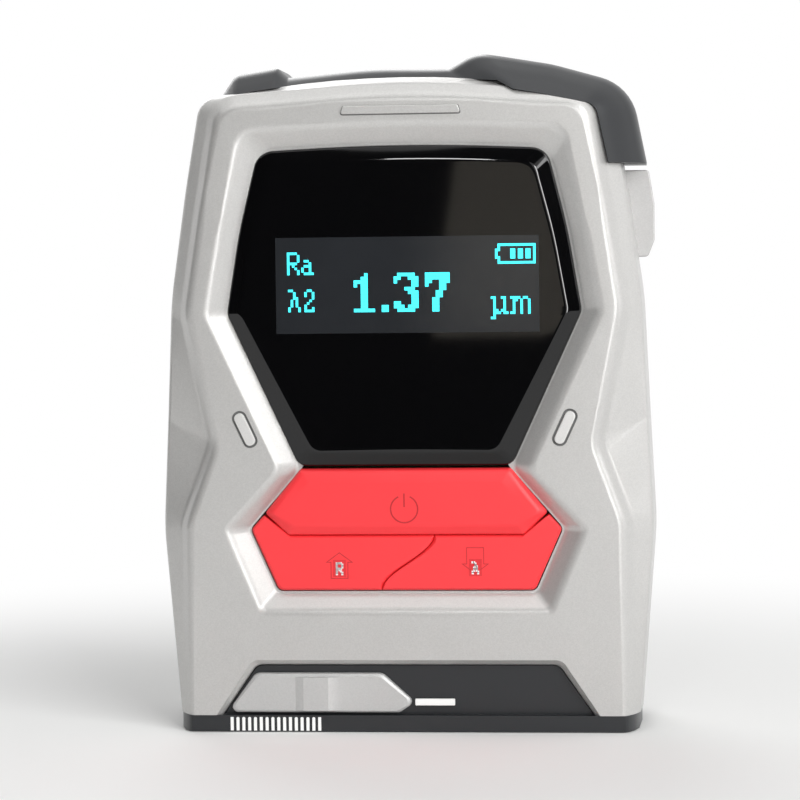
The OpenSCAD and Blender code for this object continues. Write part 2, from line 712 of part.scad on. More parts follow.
// Outline of a lower key; the right one is the left one's frame with the split on its other side
function lower_outline(side, inset) =
    let (
        low = [side * (keypad_half - 4 - inset * 0.8), keys_low + inset, 1],
        tip = [side * (keypad_half - inset * 1.1), keys_tip, 0.8],
        high = power_low - key_gap - inset,
        split = split_line(keys_low + inset, high, side * (key_gap / 2 + inset)),
        outer = concat(
            [[side * (keypad_half - 5.5 - key_gap), high],
                [side * (keypad_half - 2.3 - inset * 0.9), keys_tip + 2 - inset * 0.7]],
            corner([side * (keypad_half - 2.3), keys_tip + 2], tip, low, 4),
            corner(tip, low, [0, keys_low + inset], 4)),
        loop = concat(split, outer)
    )
    side < 0 ? loop : [for (i = [len(loop) - 1:-1:0]) loop[i]];
module key_stem(x, z) {
    rod_y(stem_d, [x, key_back_y - 0.1, z], stem_l + 0.1);
}
module power_key() {
    tab_half = pane_low_half - 3;
    color(key_red) union() {
        loft([power_outline(0.35, 1), power_outline(0.1, 0.85),
            power_outline(0, 0), power_outline(0, 0)],
            [power_front_y, power_front_y + 0.12, key_front_y, key_back_y], [0, power_mid]);
        block([-tab_half, tab_y, keys_top - 1], [tab_half, key_back_y, keys_top + 1.2]);
        key_stem(0, power_mid);
    }
}
module lower_key(side) {
    x0 = side * (keypad_half - 5);
    x1 = side * 6;
    color(key_red) union() {
        loft([lower_outline(side, 0.3), lower_outline(side, 0.08),
            lower_outline(side, 0), lower_outline(side, 0)],
            [key_front_y, key_front_y + 0.1, key_front_y + 0.35, key_back_y],
            [side * (keypad_half - 5.9), stem_low_z + 0.3]);
        block([min(x0, x1), tab_y, keys_low - 1.2], [max(x0, x1), key_back_y, keys_low + 1]);
        key_stem(side * stem_side, stem_low_z);
    }
}
module parameter_key() {
    lower_key(-1);
}
module cutoff_key() {
    lower_key(1);
}
switch_half = 2;
module key_switches() {
    top_y = key_back_y + stem_l + key_travel + 0.1;
    points = [[0, power_mid], [-stem_side, stem_low_z], [stem_side, stem_low_z]];
    color(inner_grey) for (p = points) union() {
        block([p[0] - switch_half, top_y + 0.3, p[1] - switch_half],
            [p[0] + switch_half, board_y, p[1] + switch_half]);
        rod_y(stem_d * 0.7, [p[0], top_y, p[1]], 0.4);
    }
}

// Traverse unit: frame on the foot, two rods and the lead screw above each other
drive_y = back_inner_y - 4.9;
low_rod_z = foot_h + 3.8;
screw_z = low_rod_z + 3.5;
high_rod_z = screw_z + 3.5;
frame_t = 1;
frame_x0 = -(half_w - 6.6);
frame_top = high_rod_z + 1.8;
end_t = 1.5;
motor_x = 12.5;
motor_len = motor_l + spread / 2;
motor_plate_x = motor_x - end_t;
frame_front_y = -plate_half - 0.4;
frame_back_y = drive_y + 4;
frame_points = [[probe_x0 + 2, drive_y + 2.6], [motor_plate_x - 1.6, frame_front_y + 1.6],
    [motor_plate_x - 1.6, drive_y + 2.6]];
frame_screw_d = 1.6;
tip_x = probe_x0 + 2.3;
arm_reach = 22 + spread;
pivot_x = tip_x + arm_reach;
pickup_z = foot_h + 4.6;
carriage_x1 = pivot_x + 6;
carriage_x0 = carriage_x1 - carriage_l;
pin_d = 1.4;

module drive_frame() {
    rail = 0.8;
    color(inner_grey) difference() {
        union() {
            block([frame_x0, frame_front_y, foot_h],
                [motor_x + motor_len, frame_back_y, foot_h + frame_t]);
            block([frame_x0, drive_y - 2.6, foot_h],
                [frame_x0 + end_t, drive_y + 2.8, frame_top]);
            block([motor_plate_x, drive_y - motor_d / 2, foot_h],
                [motor_x, drive_y + 4.2, frame_top]);
            block([motor_x + 3, drive_y - 3, foot_h],
                [motor_x + motor_len - 1, drive_y + 3, screw_z - 2.4]);
            for (s = [-1, 1])
                block([plate_x0, s * (plate_half - rail / 2) - rail / 2, plate_high + 0.2],
                    [plate_x1 + door_travel, s * (plate_half - rail / 2) + rail / 2, foot_h + 0.1]);
        }
        block([frame_x0 + end_t + 0.2, -probe_window_w / 2, plate_high],
            [carriage_x1 + traverse, probe_window_w / 2, foot_h + frame_t + overcut]);
        for (z = [low_rod_z, high_rod_z])
            rod_x(rod_d, [frame_x0 - overcut, drive_y, z], motor_x - frame_x0 + 2 * overcut);
        rod_x(screw_d + pin_gap, [frame_x0 - overcut, drive_y, screw_z],
            motor_x - frame_x0 + 2 * overcut);
        rod_x(motor_d + screw_gap, [motor_x, drive_y, screw_z], motor_len + overcut);
        for (p = frame_points)
            rod_z(frame_screw_d + well_gap, [p[0], p[1], foot_h - overcut], frame_t + 2 * overcut);
    }
}
module frame_screws() {
    color(steel) for (p = frame_points) union() {
        rod_z(frame_screw_d + 1.6, [p[0], p[1], foot_h + frame_t], 0.8);
        rod_z(frame_screw_d, [p[0], p[1], sole_t + 0.2], foot_h + frame_t - sole_t);
    }
}
module guide_rods() {
    color(steel) for (z = [low_rod_z, high_rod_z])
        rod_x(rod_d, [frame_x0, drive_y, z], motor_x - frame_x0);
}
shaft_d = 1.6;
module drive_motor() {
    color(steel) difference() {
        union() {
            rod_x(motor_d, [motor_x, drive_y, screw_z], motor_len - 2);
            rod_x(motor_d - 2, [motor_x + motor_len - 3, drive_y, screw_z], 3);
        }
        rod_x(shaft_d + pin_gap, [motor_x - overcut, drive_y, screw_z], 3 + overcut);
    }
}
coupling_x = carriage_x1 + traverse + 0.2;
module lead_screw() {
    color(steel) rod_x(screw_d, [frame_x0, drive_y, screw_z], coupling_x + 1 - frame_x0);
}
module screw_coupling() {
    color("#C8A24A") difference() {
        union() {
            rod_x(screw_d + 1.6, [coupling_x, drive_y, screw_z], motor_plate_x - 0.3 - coupling_x);
            rod_x(shaft_d, [coupling_x + 1.5, drive_y, screw_z], motor_x + 2.5 - coupling_x - 1.5);
        }
        rod_x(screw_d, [coupling_x - overcut, drive_y, screw_z], overcut + 1);
    }
}
nut_d = 4.6;
nut_l = 5;
ear_t = 0.9;
ear_y = pickup_d / 2 + 0.35;
module carriage() {
    color(inner_grey) difference() {
        union() {
            block([carriage_x0, drive_y - 2.2, low_rod_z - 1.7],
                [carriage_x1, drive_y + 2.4, high_rod_z + 1.7]);
            block([pivot_x - 2.4, -ear_y - ear_t, pickup_z + 3],
                [pivot_x + 2.4, drive_y, pickup_z + 4.6]);
            for (y = [-ear_y - ear_t, ear_y])
                block([pivot_x - 1.5, y, pickup_z - 1.4], [pivot_x + 1.5, y + ear_t, pickup_z + 3.2]);
        }
        for (z = [low_rod_z, high_rod_z])
            rod_x(rod_d + pin_gap, [carriage_x0 - overcut, drive_y, z], carriage_l + 2 * overcut);
        rod_x(screw_d + 2 * pin_gap, [carriage_x0 - overcut, drive_y, screw_z],
            carriage_l + 2 * overcut);
        rod_x(nut_d, [carriage_x0 - overcut, drive_y, screw_z], nut_l + overcut);
        rod_y(pin_d, [pivot_x, -ear_y - ear_t - overcut, pickup_z],
            2 * (ear_y + ear_t + overcut));
    }
}
module lead_nut() {
    color("#C8A24A") difference() {
        rod_x(nut_d, [carriage_x0, drive_y, screw_z], nut_l);
        rod_x(screw_d + pin_gap, [carriage_x0 - overcut, drive_y, screw_z], nut_l + 2 * overcut);
    }
}
module pickup_pin() {
    color(steel) rod_y(pin_d, [pivot_x, -ear_y - ear_t, pickup_z], 2 * (ear_y + ear_t));
}

// Pickup tube with a slotted nose, its skid, and the stylus hinged in the slot
nose_x = tip_x + 0.9;
nose_l = 4;
nose_half = 1.7;
pickup_tail = 3.4;
slot_half = 0.7;
arm_half = 0.4;
arm_t = 0.8;
arm_pivot_x = tip_x + 5;
arm_pin_d = 0.8;
skid_x = tip_x + 2;
skid_d = 1.6;
tip_low = foot_h + 0.85;
skid_low = foot_h + 0.6;
module pickup_body() {
    color(steel) difference() {
        union() {
            rod_x(pickup_d, [nose_x + nose_l - 1, 0, pickup_z], arm_reach - nose_l + pickup_tail);
            block([nose_x, -nose_half, pickup_z - 1.8], [nose_x + nose_l, nose_half, pickup_z + 1.3]);
        }
        block([nose_x - overcut, -slot_half, pickup_z - 1], [arm_pivot_x + 1.4, slot_half, pickup_z + 3]);
        rod_y(arm_pin_d + pin_gap, [arm_pivot_x, -pickup_d, pickup_z], 2 * pickup_d);
        rod_y(pin_d + pin_gap, [pivot_x, -pickup_d, pickup_z], 2 * pickup_d);
    }
}
module skid() {
    color(steel) union() {
        rod_z(skid_d, [skid_x, 0, skid_low + skid_d / 2], pickup_z - 1.8 - skid_low - skid_d / 2);
        translate([skid_x, 0, skid_low + skid_d / 2]) sphere(d = skid_d);
    }
}
module stylus_arm() {
    color(steel) union() {
        block([tip_x - 0.5, -arm_half, pickup_z - arm_t / 2],
            [arm_pivot_x + 0.8, arm_half, pickup_z + arm_t / 2]);
        rod_y(arm_pin_d, [arm_pivot_x, -nose_half, pickup_z], 2 * nose_half);
    }
}
module stylus_tip() {
    tip_r = 0.08;
    color("#D8E4E8") translate([tip_x, 0, tip_low])
        cylinder(r1 = tip_r, r2 = arm_half, h = pickup_z - arm_t / 2 - tip_low);
}

front_shell();
back_shell();
top_bumper();
foot();
display_window();
display_panel();
display_holder();
main_board();
key_switches();
battery();
charge_socket();
case_screws();
board_screws();
foot_screws();
frame_screws();
drive_frame();
guide_rods();
drive_motor();
power_key();
parameter_key();
cutoff_key();
door_grip();
door_plate();
door_index();
carriage();
lead_nut();
pickup_pin();
pickup_body();
skid();
stylus_arm();
stylus_tip();
lead_screw();
screw_coupling();
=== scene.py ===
"""Looks of a pocket surface roughness tester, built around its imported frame.

The front faces -Y and up is +Z. Sizes are millimetres until a mesh is made from them.
"""
import logging
import math
from dataclasses import dataclass, field
from enum import Enum

import bmesh
import bpy
import numpy as np
from mathutils import Matrix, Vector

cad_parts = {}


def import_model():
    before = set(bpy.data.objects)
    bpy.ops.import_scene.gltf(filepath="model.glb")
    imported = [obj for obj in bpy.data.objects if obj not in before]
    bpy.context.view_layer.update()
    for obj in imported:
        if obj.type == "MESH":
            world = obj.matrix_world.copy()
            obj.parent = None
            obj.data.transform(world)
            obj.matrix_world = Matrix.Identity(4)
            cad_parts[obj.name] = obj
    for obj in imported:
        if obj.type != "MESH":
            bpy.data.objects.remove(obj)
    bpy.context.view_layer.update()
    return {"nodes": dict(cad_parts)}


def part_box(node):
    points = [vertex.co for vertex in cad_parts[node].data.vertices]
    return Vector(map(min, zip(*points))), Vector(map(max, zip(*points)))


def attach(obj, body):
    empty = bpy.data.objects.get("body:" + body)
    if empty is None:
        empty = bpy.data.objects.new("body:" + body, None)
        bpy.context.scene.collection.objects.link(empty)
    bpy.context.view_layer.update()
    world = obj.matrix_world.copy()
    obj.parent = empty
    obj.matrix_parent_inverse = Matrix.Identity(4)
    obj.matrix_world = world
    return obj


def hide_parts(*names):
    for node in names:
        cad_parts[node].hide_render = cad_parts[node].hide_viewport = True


LOG = logging.getLogger("tester")
MM = 0.001
MERGE_M = 0.0005 * MM  # points closer than this are one
SHARP_R = 0.02  # corner radius in millimetres that reads as sharp
FAN = 0.02  # size of the small loop in the middle of a wide flat, as a share of its rim
TINY = 1e-30  # keeps a length of zero from dividing
Array = np.ndarray
Settings = dict[str | int, object]
Tree, Node, Socket = bpy.types.NodeTree, bpy.types.Node, bpy.types.NodeSocket
Thing = bpy.types.Object


def linear(hex_colour: str) -> tuple[float, float, float, float]:
    """Linear RGBA of an sRGB hex colour.

    Args:
        hex_colour: six hex digits after a hash.

    Returns:
        The linear colour with an alpha of 1.
    """
    coded = np.array([int(hex_colour[i:i + 2], 16) for i in (1, 3, 5)]) / 255
    plain = np.where(coded <= 0.04045, coded / 12.92, ((coded + 0.055) / 1.055) ** 2.4)
    return (*plain.tolist(), 1.0)


def shifted(hex_colour: str, share: float) -> tuple[float, float, float, float]:
    """Linear colour made lighter or darker by a share of itself."""
    return (*(c * (1 + share) for c in linear(hex_colour)[:3]), 1.0)


def per_metre(size_mm: float) -> float:
    """Texture scale at which one feature measures the given millimetres."""
    return 1 / (size_mm * MM)


def unit(ways: Array) -> Array:
    """Directions brought to a length of 1."""
    return ways / np.maximum(np.linalg.norm(ways, axis=-1, keepdims=True), TINY)


def node_box(name: str) -> list[Array]:
    """Low and high corner of a frame node, in millimetres."""
    return [np.array(corner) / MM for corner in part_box(name)]


def standing(right: Array, back: Array, place: Array) -> Matrix:
    """Placement of a camera or lamp from its right and backward axes and its place in metres."""
    return Matrix([*np.column_stack([right, np.cross(back, right), back, place]).tolist(), [0, 0, 0, 1]])


def add_node(tree: Tree, kind: str, settings: Settings | None = None,
             links: Settings | None = None) -> Node:
    """Adds one shader node.

    Args:
        tree: the node tree it goes into.
        kind: the node's type name.
        settings: lower-case keys are attributes, others are input sockets and their values.
        links: input sockets and the output sockets that feed them.

    Returns:
        The new node.
    """
    node = tree.nodes.new(kind)
    for key, value in (settings or {}).items():
        if isinstance(key, str) and key.islower():
            setattr(node, key, value)
        else:
            node.inputs[key].default_value = value
    for key, source in (links or {}).items():
        tree.links.new(source, node.inputs[key])
    return node


@dataclass(frozen=True)
class Finish:
    """A moulded or cast surface: wandering colour, uneven gloss and a fine grain.

    The grain of a spark-eroded mould is finer than the default and is drawn coarser, so that it shows.
    """

    name: str
    colour: str
    roughness: float
    metallic: float = 0.0
    ior: float = 1.5
    coat: float = 0.0
    mottle: float = 0.03
    mottle_mm: float = 7.0
    gloss_wander: float = 0.05
    grain_mm: float = 0.35
    grain_depth_mm: float = 0.006

    def material(self) -> bpy.types.Material:
        """The finish as a material, made once.

        Returns:
            The material of this finish's name.
        """
        known = bpy.data.materials.get(self.name)
        if known:
            return known
        made = bpy.data.materials.new(self.name)
        made.use_nodes = True
        made.diffuse_color = linear(self.colour)
        tree = made.node_tree
        shader = tree.nodes["Principled BSDF"]
        shader.inputs["Metallic"].default_value = self.metallic
        if not self.metallic:
            shader.inputs["IOR"].default_value = self.ior
        shader.inputs["Coat Weight"].default_value = self.coat
        shader.inputs["Coat Roughness"].default_value = 0.12
        where = add_node(tree, "ShaderNodeTexCoord").outputs["Object"]
        self.paint(tree, shader, where)
        return made

    def paint(self, tree: Tree, shader: Node, where: Socket) -> None:
        """Feeds colour, roughness and bump.

        Args:
            tree: the material's node tree.
            shader: its Principled node.
            where: Object coordinates.
        """
        tree.links.new(self.colour_pattern(tree, where), shader.inputs["Base Color"])
        grain = add_node(tree, "ShaderNodeTexNoise", {"Scale": per_metre(self.grain_mm), "Detail": 3.0},
                         {"Vector": where}).outputs["Fac"]
        gloss = add_node(tree, "ShaderNodeMapRange", {"To Min": self.roughness - self.gloss_wander,
                         "To Max": self.roughness + self.gloss_wander}, {"Value": grain})
        tree.links.new(gloss.outputs["Result"], shader.inputs["Roughness"])
        bump = add_node(tree, "ShaderNodeBump", {"Strength": 1.0, "Distance": self.grain_depth_mm * MM},
                        {"Height": grain})
        tree.links.new(bump.outputs["Normal"], shader.inputs["Normal"])

    def colour_pattern(self, tree: Tree, where: Socket) -> Socket:
        """Colour that wanders between a darker and a lighter shade.

        Args:
            tree: the material's node tree.
            where: Object coordinates.

        Returns:
            The socket that gives the colour.
        """
        cloud = add_node(tree, "ShaderNodeTexNoise", {"Scale": per_metre(self.mottle_mm), "Detail": 4.0},
                         {"Vector": where})
        mix = add_node(tree, "ShaderNodeMix", {"data_type": "RGBA", 6: shifted(self.colour, -self.mottle),
                       7: shifted(self.colour, self.mottle)}, {0: cloud.outputs["Fac"]})
        return mix.outputs[2]


@dataclass(frozen=True)
class FlakePaint(Finish):
    """Sprayed silver lacquer: tiny aluminium flakes glint under a satin clear coat.

    Real flakes are a few hundredths of a millimetre and would not show, so they are drawn coarser.
    """

    flake_mm: float = 0.16
    flake_share: float = 0.12

    def colour_pattern(self, tree: Tree, where: Socket) -> Socket:
        """Wandering colour with a random lightness in each flake cell.

        Args:
            tree: the material's node tree.
            where: Object coordinates.

        Returns:
            The socket that gives the colour.
        """
        base = super().colour_pattern(tree, where)
        cells = add_node(tree, "ShaderNodeTexVoronoi", {"Scale": per_metre(self.flake_mm)}, {"Vector": where})
        level = add_node(tree, "ShaderNodeSeparateColor", None, {"Color": cells.outputs["Color"]})
        light = add_node(tree, "ShaderNodeMapRange", {"To Min": 1 - self.flake_share,
                         "To Max": 1 + self.flake_share / 2}, {"Value": level.outputs["Red"]})
        mix = add_node(tree, "ShaderNodeMix", {"data_type": "RGBA", "blend_type": "MULTIPLY", 0: 1.0},
                       {6: base, 7: light.outputs["Result"]})
        return mix.outputs[2]


@dataclass(frozen=True)
class BrushedMetal(Finish):
    """Turned or drawn metal: fine scratches that run along one axis."""

    stretch: tuple[float, float, float] = (0.06, 1.0, 1.0)

    def paint(self, tree: Tree, shader: Node, where: Socket) -> None:
        """Feeds the grain with coordinates squeezed along the brushing."""
        drawn = add_node(tree, "ShaderNodeMapping", {"Scale": self.stretch}, {"Vector": where})
        super().paint(tree, shader, drawn.outputs["Vector"])


@dataclass(frozen=True)
class LitPixels(Finish):
    """Display pixels that give off their own light."""

    strength: float = 1.0

    def paint(self, tree: Tree, shader: Node, where: Socket) -> None:
        """Sets the glow and the plain grain under it.

        Args:
            tree: the material's node tree.
            shader: its Principled node.
            where: Object coordinates.
        """
        super().paint(tree, shader, where)
        shader.inputs["Emission Color"].default_value = linear(self.colour)
        shader.inputs["Emission Strength"].default_value = self.strength


# Sprayed silver on moulded ABS: a soft metallic sheen, brighter towards the light, with a faint sparkle.
SILVER = FlakePaint("satin_silver_lacquer_on_abs", "#C6C5C3", 0.36, metallic=0.45, coat=0.1, flake_share=0.06,
                    grain_depth_mm=0.003)
# The same lacquer on the back half: rougher, for a broader and duller sheen, and painted darker as painted shade on the
# sides turned from the light.
SHADED_SILVER_BACK = FlakePaint("matt_silver_lacquer_painted_shade", "#BDBCBB", 0.42, metallic=0.42, coat=0.05, flake_share=0.06,
                         grain_depth_mm=0.004)
# The housing's silver lacquer painted paler on the two raised pills: a painted highlight that makes them stand out from
# the face.
SILVER_PAINTED_HIGHLIGHT = FlakePaint("silver_lacquer_painted_highlight", "#D9D8D6", 0.34, metallic=0.3, coat=0.1, flake_share=0.04,
                           grain_depth_mm=0.003)
# Cooler grey lacquer on the slide: satin, less metallic than the housing.
SLIDE_GREY = FlakePaint("satin_grey_lacquer_on_abs", "#C3C3C2", 0.38, metallic=0.35, coat=0.08, flake_share=0.05,
                        grain_depth_mm=0.003)
# Painted shade at the bottom of the pill grooves and round the raised bar: a dull dark line that stands in for the
# shade there.
GROOVE_PAINTED_SHADE = Finish("dark_grey_groove_painted_shade", "#6A6A69", 0.6)
# Spark-eroded black ABS: near black with a broad grey sheen where light strikes it.
BLACK_TRIM = Finish("black_moulded_abs", "#202225", 0.32, ior=1.54, grain_mm=0.22, grain_depth_mm=0.008, mottle=0.06)
# Polished black acrylic: mirrors its surroundings, with a slight wave in the reflections.
GLASS = Finish("black_gloss_acrylic", "#060607", 0.04, ior=1.49, gloss_wander=0.015, grain_mm=14.0,
               grain_depth_mm=0.002, mottle=0.2, mottle_mm=30.0)
# Self-coloured red ABS: even and satin.
KEY_RED = Finish("red_moulded_abs", "#F2363C", 0.4, grain_mm=0.25, grain_depth_mm=0.006)
# Pad-printed inks: thin, flat colour a little duller than the plastic under it.
KEY_INK = Finish("dark_red_pad_print", "#B81A22", 0.45, mottle=0.05)
KEY_PLATE = Finish("deep_red_pad_print", "#D8262D", 0.45, mottle=0.05)
PALE_INK = Finish("pale_pad_print", "#FFF8F8", 0.5, mottle=0.0)
WHITE_INK = Finish("white_pad_print", "#F4F4F2", 0.5, mottle=0.02)
# Display field without light: dark grey glass, a shade above the black round it.
DIM_PANEL = Finish("unlit_display_field", "#26282B", 0.08, gloss_wander=0.02, mottle=0.15)
# Lit pixels: flat cyan that no shadow falls on.
CYAN = LitPixels("cyan_lit_pixels", "#3FE8F5", 0.3, strength=0.82)
# Drawn steel and turned brass: streaked highlights along the tool's path.
STEEL = BrushedMetal("bright_drawn_steel", "#B9BCC0", 0.28, metallic=1.0, grain_mm=0.12)
BRASS = BrushedMetal("turned_brass", "#C9A24C", 0.3, metallic=1.0, grain_mm=0.12)
# Moulded nylon: plain mid grey, half matt.
INNER_GREY = Finish("grey_moulded_nylon", "#7C8084", 0.5)
# Solder lacquer over copper and weave: glossy green with blotches.
LACQUER_GREEN = Finish("green_board_lacquer", "#24583A", 0.3, coat=0.3, mottle=0.12, mottle_mm=2.0)
# Shrink film round the cell: smooth blue with a clear shine.
CELL_WRAP = Finish("blue_shrink_film", "#3F66A0", 0.35, coat=0.25)
# Ground diamond: pale and very bright in reflection.
DIAMOND = Finish("diamond_tip", "#D8E4E8", 0.1, ior=2.4)
# Cards that only the gloss shows: felt that swallows light, and warm paper.
BLACK_FELT = Finish("black_felt", "#0B0B0C", 0.95)
PALE_CARD = Finish("cream_card", "#F2EADB", 0.9)


@dataclass
class Surface:
    """Points in millimetres and the faces between them."""

    points: Array
    faces: list[list[int]]


def corner_loop(corners: Array, arc: int = 8, run: int = 4) -> Array:
    """Closed outline whose corners are arcs, with points along its straight runs.

    An arc of radius r at a corner of half angle h has its centre r / sin h along the bisector and
    touches both runs r / tan h from the corner.

    Args:
        corners: rows of x, z and radius.
        arc: steps in each arc.
        run: points inside each straight run.

    Returns:
        Rows of x and z, arc + 1 + run for each corner.
    """
    here = corners[:, :2]
    radius = corners[:, 2:3]
    back = unit(np.roll(here, 1, axis=0) - here)
    ahead = unit(np.roll(here, -1, axis=0) - here)
    half = np.arccos(np.clip((back * ahead).sum(axis=1, keepdims=True), -1, 1)) / 2
    centre = here + unit(back + ahead) * radius / np.sin(half)
    first = here + back * radius / np.tan(half) - centre
    last = here + ahead * radius / np.tan(half) - centre
    start = np.arctan2(first[:, 1], first[:, 0])[:, None]
    sweep = np.arctan2(last[:, 1], last[:, 0])[:, None] - start
    sweep = (sweep + math.pi) % (2 * math.pi) - math.pi
    angle = start + sweep * np.linspace(0, 1, arc + 1)
    arcs = centre[:, None, :] + radius[:, None] * np.stack([np.cos(angle), np.sin(angle)], axis=2)
    share = np.linspace(0, 1, run + 2)[1:-1, None]
    runs = arcs[:, -1:, :] * (1 - share) + np.roll(arcs[:, :1, :], -1, axis=0) * share
    return np.concatenate([arcs, runs], axis=1).reshape(-1, 2)


def mirrored(right: list[tuple[float, float, float]]) -> Array:
    """Corners of the right half, bottom to top, followed by their mirror images."""
    half = np.array(right, float)
    return np.concatenate([half, half[::-1][half[::-1, 0] > 0] * [-1, 1, 1]])


def at_depth(loop: Array, depth: float | Array) -> Array:
    """Outline of x and z set at a depth y."""
    return np.column_stack([loop[:, 0], np.broadcast_to(depth, len(loop)), loop[:, 1]])


def rounded_rows(rows: Array, reach: list[float], steps: int = 6) -> Array:
    """Rows with each inner row turned into a round.

    A round leaves the stretches before and after its edge e at points a and b, its reach away, and
    is the curve (1 - t)^2 a + 2 t (1 - t) e + t^2 b.

    Args:
        rows: outlines in order, shaped rows x points x 3.
        reach: length of each row's round along its neighbours; 0 keeps it sharp.
        steps: steps in each round.

    Returns:
        The finer rows.
    """
    t = np.linspace(0, 1, steps + 1)[:, None, None]
    finer = [rows[:1]]
    for k in range(1, len(rows) - 1):
        edge = rows[k]
        if not reach[k]:
            finer.append(edge[None])
            continue
        ends = []
        for other in (rows[k - 1], rows[k + 1]):
            away = other - edge
            length = np.maximum(np.linalg.norm(away, axis=1, keepdims=True), 1e-9)
            ends.append(edge + away * np.minimum(reach[k] / length, 0.49))
        finer.append((1 - t) ** 2 * ends[0] + 2 * t * (1 - t) * edge + t ** 2 * ends[1])
    finer.append(rows[-1:])
    return np.concatenate(finer)


def skinned(rows: Array, ring: bool = False) -> Surface:
    """Skin over closed outlines, its ends capped or joined to each other.

    Args:
        rows: outlines in order, shaped rows x points x 3.
        ring: join the last outline to the first, in place of two flat caps.

    Returns:
        The closed surface.
    """
    m, n = rows.shape[:2]
    i, j = np.meshgrid(np.arange(m if ring else m - 1), np.arange(n), indexing="ij")
    after = (i + 1) % m
    beside = (j + 1) % n
    quads = np.stack([i * n + j, i * n + beside, after * n + beside, after * n + j], axis=2).reshape(-1, 4)
    faces = quads.tolist()
    if not ring:
        faces += [list(range(n))[::-1], list(range((m - 1) * n, m * n))]
    return Surface(rows.reshape(-1, 3), faces)


def prism(loop: Array, front: float, back: float) -> Surface:
    """Straight prism of an outline between two depths."""
    return skinned(np.stack([at_depth(loop, front), at_depth(loop, back)]))


class Shading(Enum):
    """Angle in degrees above which an edge stays crisp."""

    SOFT = 50
    MOULDED = 32
    CRISP = 20
    FINE = 7


@dataclass
class Piece:
    """One finished piece: its surfaces, finish and place in the assembly."""

    name: str
    finish: Finish
    body: str
    slot: str
    surfaces: list[Surface] = field(default_factory=list)
    replaces: tuple[str, ...] = ()
    shading: Shading = Shading.MOULDED
    bevel_mm: float = 0.0

    def build(self) -> Thing:
        """Makes the mesh, merges its doubles and turns its faces outwards.

        Returns:
            The object, riding on its body.
        """
        starts = np.cumsum([0] + [len(s.points) for s in self.surfaces])
        points = np.concatenate([s.points for s in self.surfaces]) * MM
        faces = [[v + start for v in face] for s, start in zip(self.surfaces, starts.tolist()) for face in s.faces]
        mesh = bpy.data.meshes.new(self.name)
        mesh.from_pydata(points.tolist(), [], faces)
        self.clean(mesh)
        return self.place(bpy.data.objects.new(self.name, mesh))

    def copy_node(self, node: Thing) -> Thing:
        """Merged copy of a frame node, with flat faces joined and edges softened.

        Args:
            node: the frame's object, which stays as it is.

        Returns:
            The object that stands for it.
        """
        mesh = node.data.copy()
        mesh.name = self.name
        mesh.materials.clear()
        self.clean(mesh, flat_deg=0.4)
        self.replaces = (node.name,)
        return self.place(bpy.data.objects.new(self.name, mesh))

    def clean(self, mesh: bpy.types.Mesh, flat_deg: float = 0.0) -> None:
        """Merges doubles, joins flat neighbours if asked, and marks crisp edges.

        Args:
            mesh: the mesh to clean.
            flat_deg: faces that meet within this angle become one; 0 leaves them.
        """
        work = bmesh.new()
        work.from_mesh(mesh)
        bmesh.ops.remove_doubles(work, verts=work.verts, dist=MERGE_M)
        bmesh.ops.dissolve_degenerate(work, edges=work.edges, dist=MERGE_M)
        if flat_deg:
            bmesh.ops.dissolve_limit(work, angle_limit=math.radians(flat_deg), verts=work.verts, edges=work.edges)
        bmesh.ops.recalc_face_normals(work, faces=work.faces)
        work.to_mesh(mesh)
        work.free()
        mesh.shade_smooth()
        mesh.set_sharp_from_angle(angle=math.radians(self.shading.value))

    def place(self, piece: Thing) -> Thing:
        """Links a piece, gives it its finish and sets it on its body.

        Args:
            piece: the new object.

        Returns:
            The same object.
        """
        bpy.context.scene.collection.objects.link(piece)
        piece.data.materials.append(self.finish.material())
        if self.bevel_mm:
            bevel = piece.modifiers.new("edge_round", "BEVEL")
            bevel.width = self.bevel_mm * MM
            bevel.segments = 2
            bevel.limit_method = "ANGLE"
            bevel.angle_limit = math.radians(self.shading.value)
            bevel.harden_normals = True
        even = piece.modifiers.new("even_normals", "WEIGHTED_NORMAL")
        even.keep_sharp = True
        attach(piece, self.body)
        if self.replaces:
            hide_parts(*self.replaces)
        LOG.info("%s on %s: %d faces", self.name, self.body, len(piece.data.polygons))
        return piece


def carve(piece: Thing, cutters: list[Surface]) -> None:
    """Cuts closed surfaces out of a moulded piece for good and marks its crisp edges again.

    Args:
        piece: the object to cut; its first modifiers stay.
        cutters: closed surfaces in millimetres.
    """
    for k, cutter in enumerate(cutters):
        mesh = bpy.data.meshes.new(f"cutter_{k}")
        mesh.from_pydata((cutter.points * MM).tolist(), [], cutter.faces)
        work = bmesh.new()
        work.from_mesh(mesh)
        bmesh.ops.remove_doubles(work, verts=work.verts, dist=MERGE_M)
        bmesh.ops.recalc_face_normals(work, faces=work.faces)
        work.to_mesh(mesh)
        work.free()
        tool = bpy.data.objects.new(f"cutter_{k}", mesh)
        bpy.context.scene.collection.objects.link(tool)
        others = list(piece.modifiers)
        cut = piece.modifiers.new("cut", "BOOLEAN")
        cut.operation = "DIFFERENCE"
        cut.solver = "MANIFOLD"
        cut.object = tool
        for other in others:
            other.show_viewport = False
        graph = bpy.context.evaluated_depsgraph_get()
        result = bpy.data.meshes.new_from_object(piece.evaluated_get(graph))
        piece.modifiers.remove(cut)
        for other in others:
            other.show_viewport = True
        piece.data = result
        bpy.data.objects.remove(tool)
    piece.data.set_sharp_from_angle(angle=math.radians(Shading.MOULDED.value))


def tube(outer: Array, inner: Array, front: float, back: float) -> Surface:
    """Ring between two outlines of equally many points, from one depth to another."""
    return skinned(np.stack([at_depth(outer, front), at_depth(outer, back), at_depth(inner, back),
                             at_depth(inner, front)]), ring=True)


def plate(low: Array, high: Array, radius: float, top_radius: float, arc: int = 4, run: int = 1) -> Array:
    """Rectangular outline from its low to its high corner, with rounded corners."""
    return corner_loop(np.array([(*low, radius), (high[0], low[1], radius), (*high, top_radius),
                                 (low[0], high[1], top_radius)]), arc, run)


